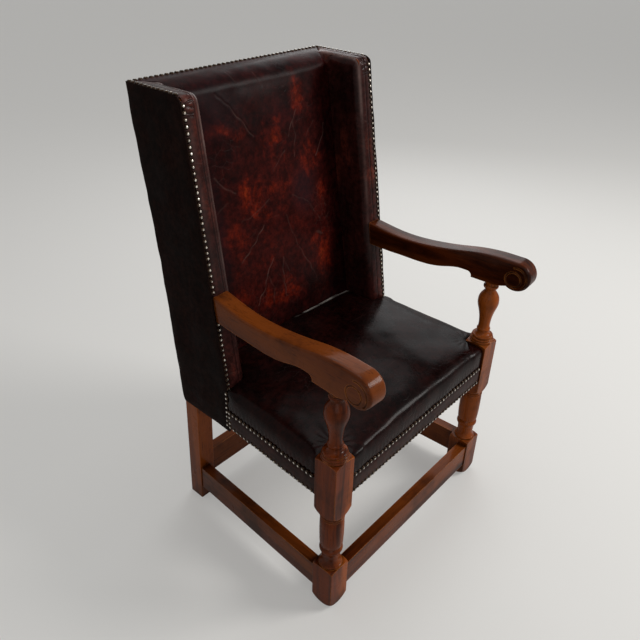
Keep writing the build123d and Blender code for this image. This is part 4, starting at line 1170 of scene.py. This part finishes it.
def cutWing(piece, sign):  # keeps only the leather that shows, finer on the front and the top
    half, y, z = drawnParts(piece, sign)
    shallow = np.minimum(rimDepth(y, z)[0], half - insideHalf(z) - 2) < 5

    def isHidden(face):
        faced = face.normal[0] * sign > 0.4 or face.normal[1] > 0.75 or face.normal[2] < -0.5
        return faced or not shallow[face.vertices[0]] or face.center[2] < 0.436

    editFaces(piece, isHidden, bpy.ops.mesh.delete, type="FACE")
    half, y, z = drawnParts(piece, sign)
    makeFiner(piece, (rimDepth(y, z)[0] < 8) & (half - insideHalf(z) > 1))


def makeWing(side):
    sign = 1 if side == "left" else -1
    rollIn, rollFront = wingPad["roll"][side]
    nodes = [part + side for part in ("inside_wing_leather_", "wing_stuffing_", "wing_front_band_",
                                      "wing_piping_", "wing_top_leather_")]
    piece = copyOf("wingPad" + side.title(), *nodes, "wing_post_" + side, "wing_top_rail_" + side)
    # the top strip is thickened downwards, so that the remesh finds one block
    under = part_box("wing_top_leather_" + side)[0].z
    lidStart = (drawing["wingTopFront"] + drawing["corner"] - 1 + workshop["legLine"] / mm) * mm

    def isLid(face):
        return face.normal[2] < -0.9 and abs(face.center[2] - under) < mm and face.center[1] > lidStart

    editFaces(piece, isLid, bpy.ops.transform.translate, value=(0, 0, -wingPad["lidDeep"]))
    applyModifier(piece, "REMESH", mode="VOXEL", voxel_size=wingPad["voxel"])
    half, y, z = roundWing(*drawnParts(piece, sign), rollIn, rollFront)
    placeWing(piece, sign, half, y, z)
    free = fade(half - insideHalf(z), *wingPad["freeFace"]) * step(y - wingLine(z), *wingPad["freeAhead"])
    free *= step(padLine(z) - y, *wingPad["freeBack"])
    free *= fade(z, *wingPad["freeTop"]) * step(z, *wingPad["freeUp"])
    swellPad(piece, 1 - free, wingPad["cap"])
    applyModifier(piece, "SUBSURF", levels=1, render_levels=1)
    cutWing(piece, sign)
    # the outer edge comes out to the outside leather
    half, y, z = drawnParts(piece, sign)
    depth, wayY, wayZ = rimDepth(y, z)
    outer = outsideHalf(z) - drawing["leather"]
    atEdge = step(half, outer - 6, outer - 2.5) * (depth < 5)
    half = half + atEdge * step(half, outer - 6, outer - 1) * np.maximum(outer - 0.1 - half, 0)
    placeWing(piece, sign, half, y - wayY * depth * atEdge, z - wayZ * depth * atEdge)
    # relief: the inside, the front between its edges, the seam along the roll, folds and nails
    points, normals = pointsOf(piece), normalsOf(piece)
    inward = half - insideHalf(z)
    inner = step(-normals[:, 0] * sign, 0.5, 0.9)
    rim = step(inward, 8, 14)
    across = np.clip((inward - rollIn) / (outer - insideHalf(z) - rollIn), 0, 1)
    lift = inner * (0.0009 * ripple(points, 0.14, 71 + sign) + 0.0004 * ripple(points, 0.05, 73 + sign))
    lift += rim * mm * wingPad["swell"] * (1 - np.abs(2 * across - 1) ** 2.4)
    lift += rim * 0.0004 * ripple(points, 0.09, 5)
    seam = inward - rollIn
    lift += mm * rim * (0.5 * hump(seam, 1.6) - 0.7 * hump(seam - 3, 1.4))
    lift -= mm * pleatFolds(half, y, z, inward, True) * rim + 0.0009 * nailPull(points)
    movePoints(piece, points + normals * lift[:, None])
    wallPiece(piece, wingPad["skin"] * mm)
    smooth(piece, 60)
    paintWing(piece, sign, rollIn)
    finishPiece(piece, leathers["wing"], "leather", *nodes)


def paintWing(piece, sign, rollIn):
    points = pointsOf(piece)
    half, y, z = drawnParts(piece, sign)
    inward, depth = half - insideHalf(z), rimDepth(y, z)[0]
    rim = step(inward, 8, 15) * fade(depth, 4, 8)
    seam = hump(inward - rollIn - 3, 1.8) * rim
    fold = pleatFolds(half, y, z, inward, False)
    paint(piece, "worn", np.clip(0.35 + 0.35 * ripple(points, 0.2, 74 + sign) + 0.2 * rim, 0, 1))
    # painted sheen: paler by the nails, on the seam and down the roll
    across = (inward - rollIn) / (outsideHalf(z) - insideHalf(z) - rollIn)
    paleWearAndSheen = rim * (0.36 * hump(across - 0.72, 0.30) + 0.24 * hump(across, 0.07))
    paleWearAndSheen *= 0.15 + 0.85 * step(z, 640, 1000)
    paleWearAndSheen += hump(inward - 0.4 * rollIn, 4) * (0.4 * step(z, 480, 700) + 0.8 * step(z, 850, 1050))
    paint(piece, "paintedSheen", np.clip(paleWearAndSheen * (0.70 + 0.45 * ripple(points, 0.12, 75 + sign)), 0, 1))
    # painted shade beside the seam and in the folds, and shade with grime round the nails
    grimeAndShade = np.maximum(nailPull(points, 0.0075), 0.8 * np.maximum(seam, fold * rim))
    paint(piece, "grimeAndShade", np.clip(grimeAndShade, 0, 1))


for side in ("left", "right"):
    makeWing(side)
print("wings")


# Webbing and hessian under the seat and in the back

cloths = {
    # piece: its CAD node, its stuff and the two ways it lies
    "seatWebbing": ("seat_webbing", jute, (0, 1)), "backWebbing": ("back_webbing", jute, (0, 2)),
    "seatHessian": ("seat_hessian", sacking, (0, 1)), "backHessian": ("back_hessian", sacking, (0, 2)),
}
sliceApart = 0.02

for name, (node, material, axes) in cloths.items():
    piece = copyOf(name, node)
    joinFlats(piece)
    for axis in axes:
        slicePiece(piece, axis, sliceApart)
    smooth(piece)
    finishPiece(piece, material, "webbing" if "Webbing" in name else "hessian", node)
print("webbing")
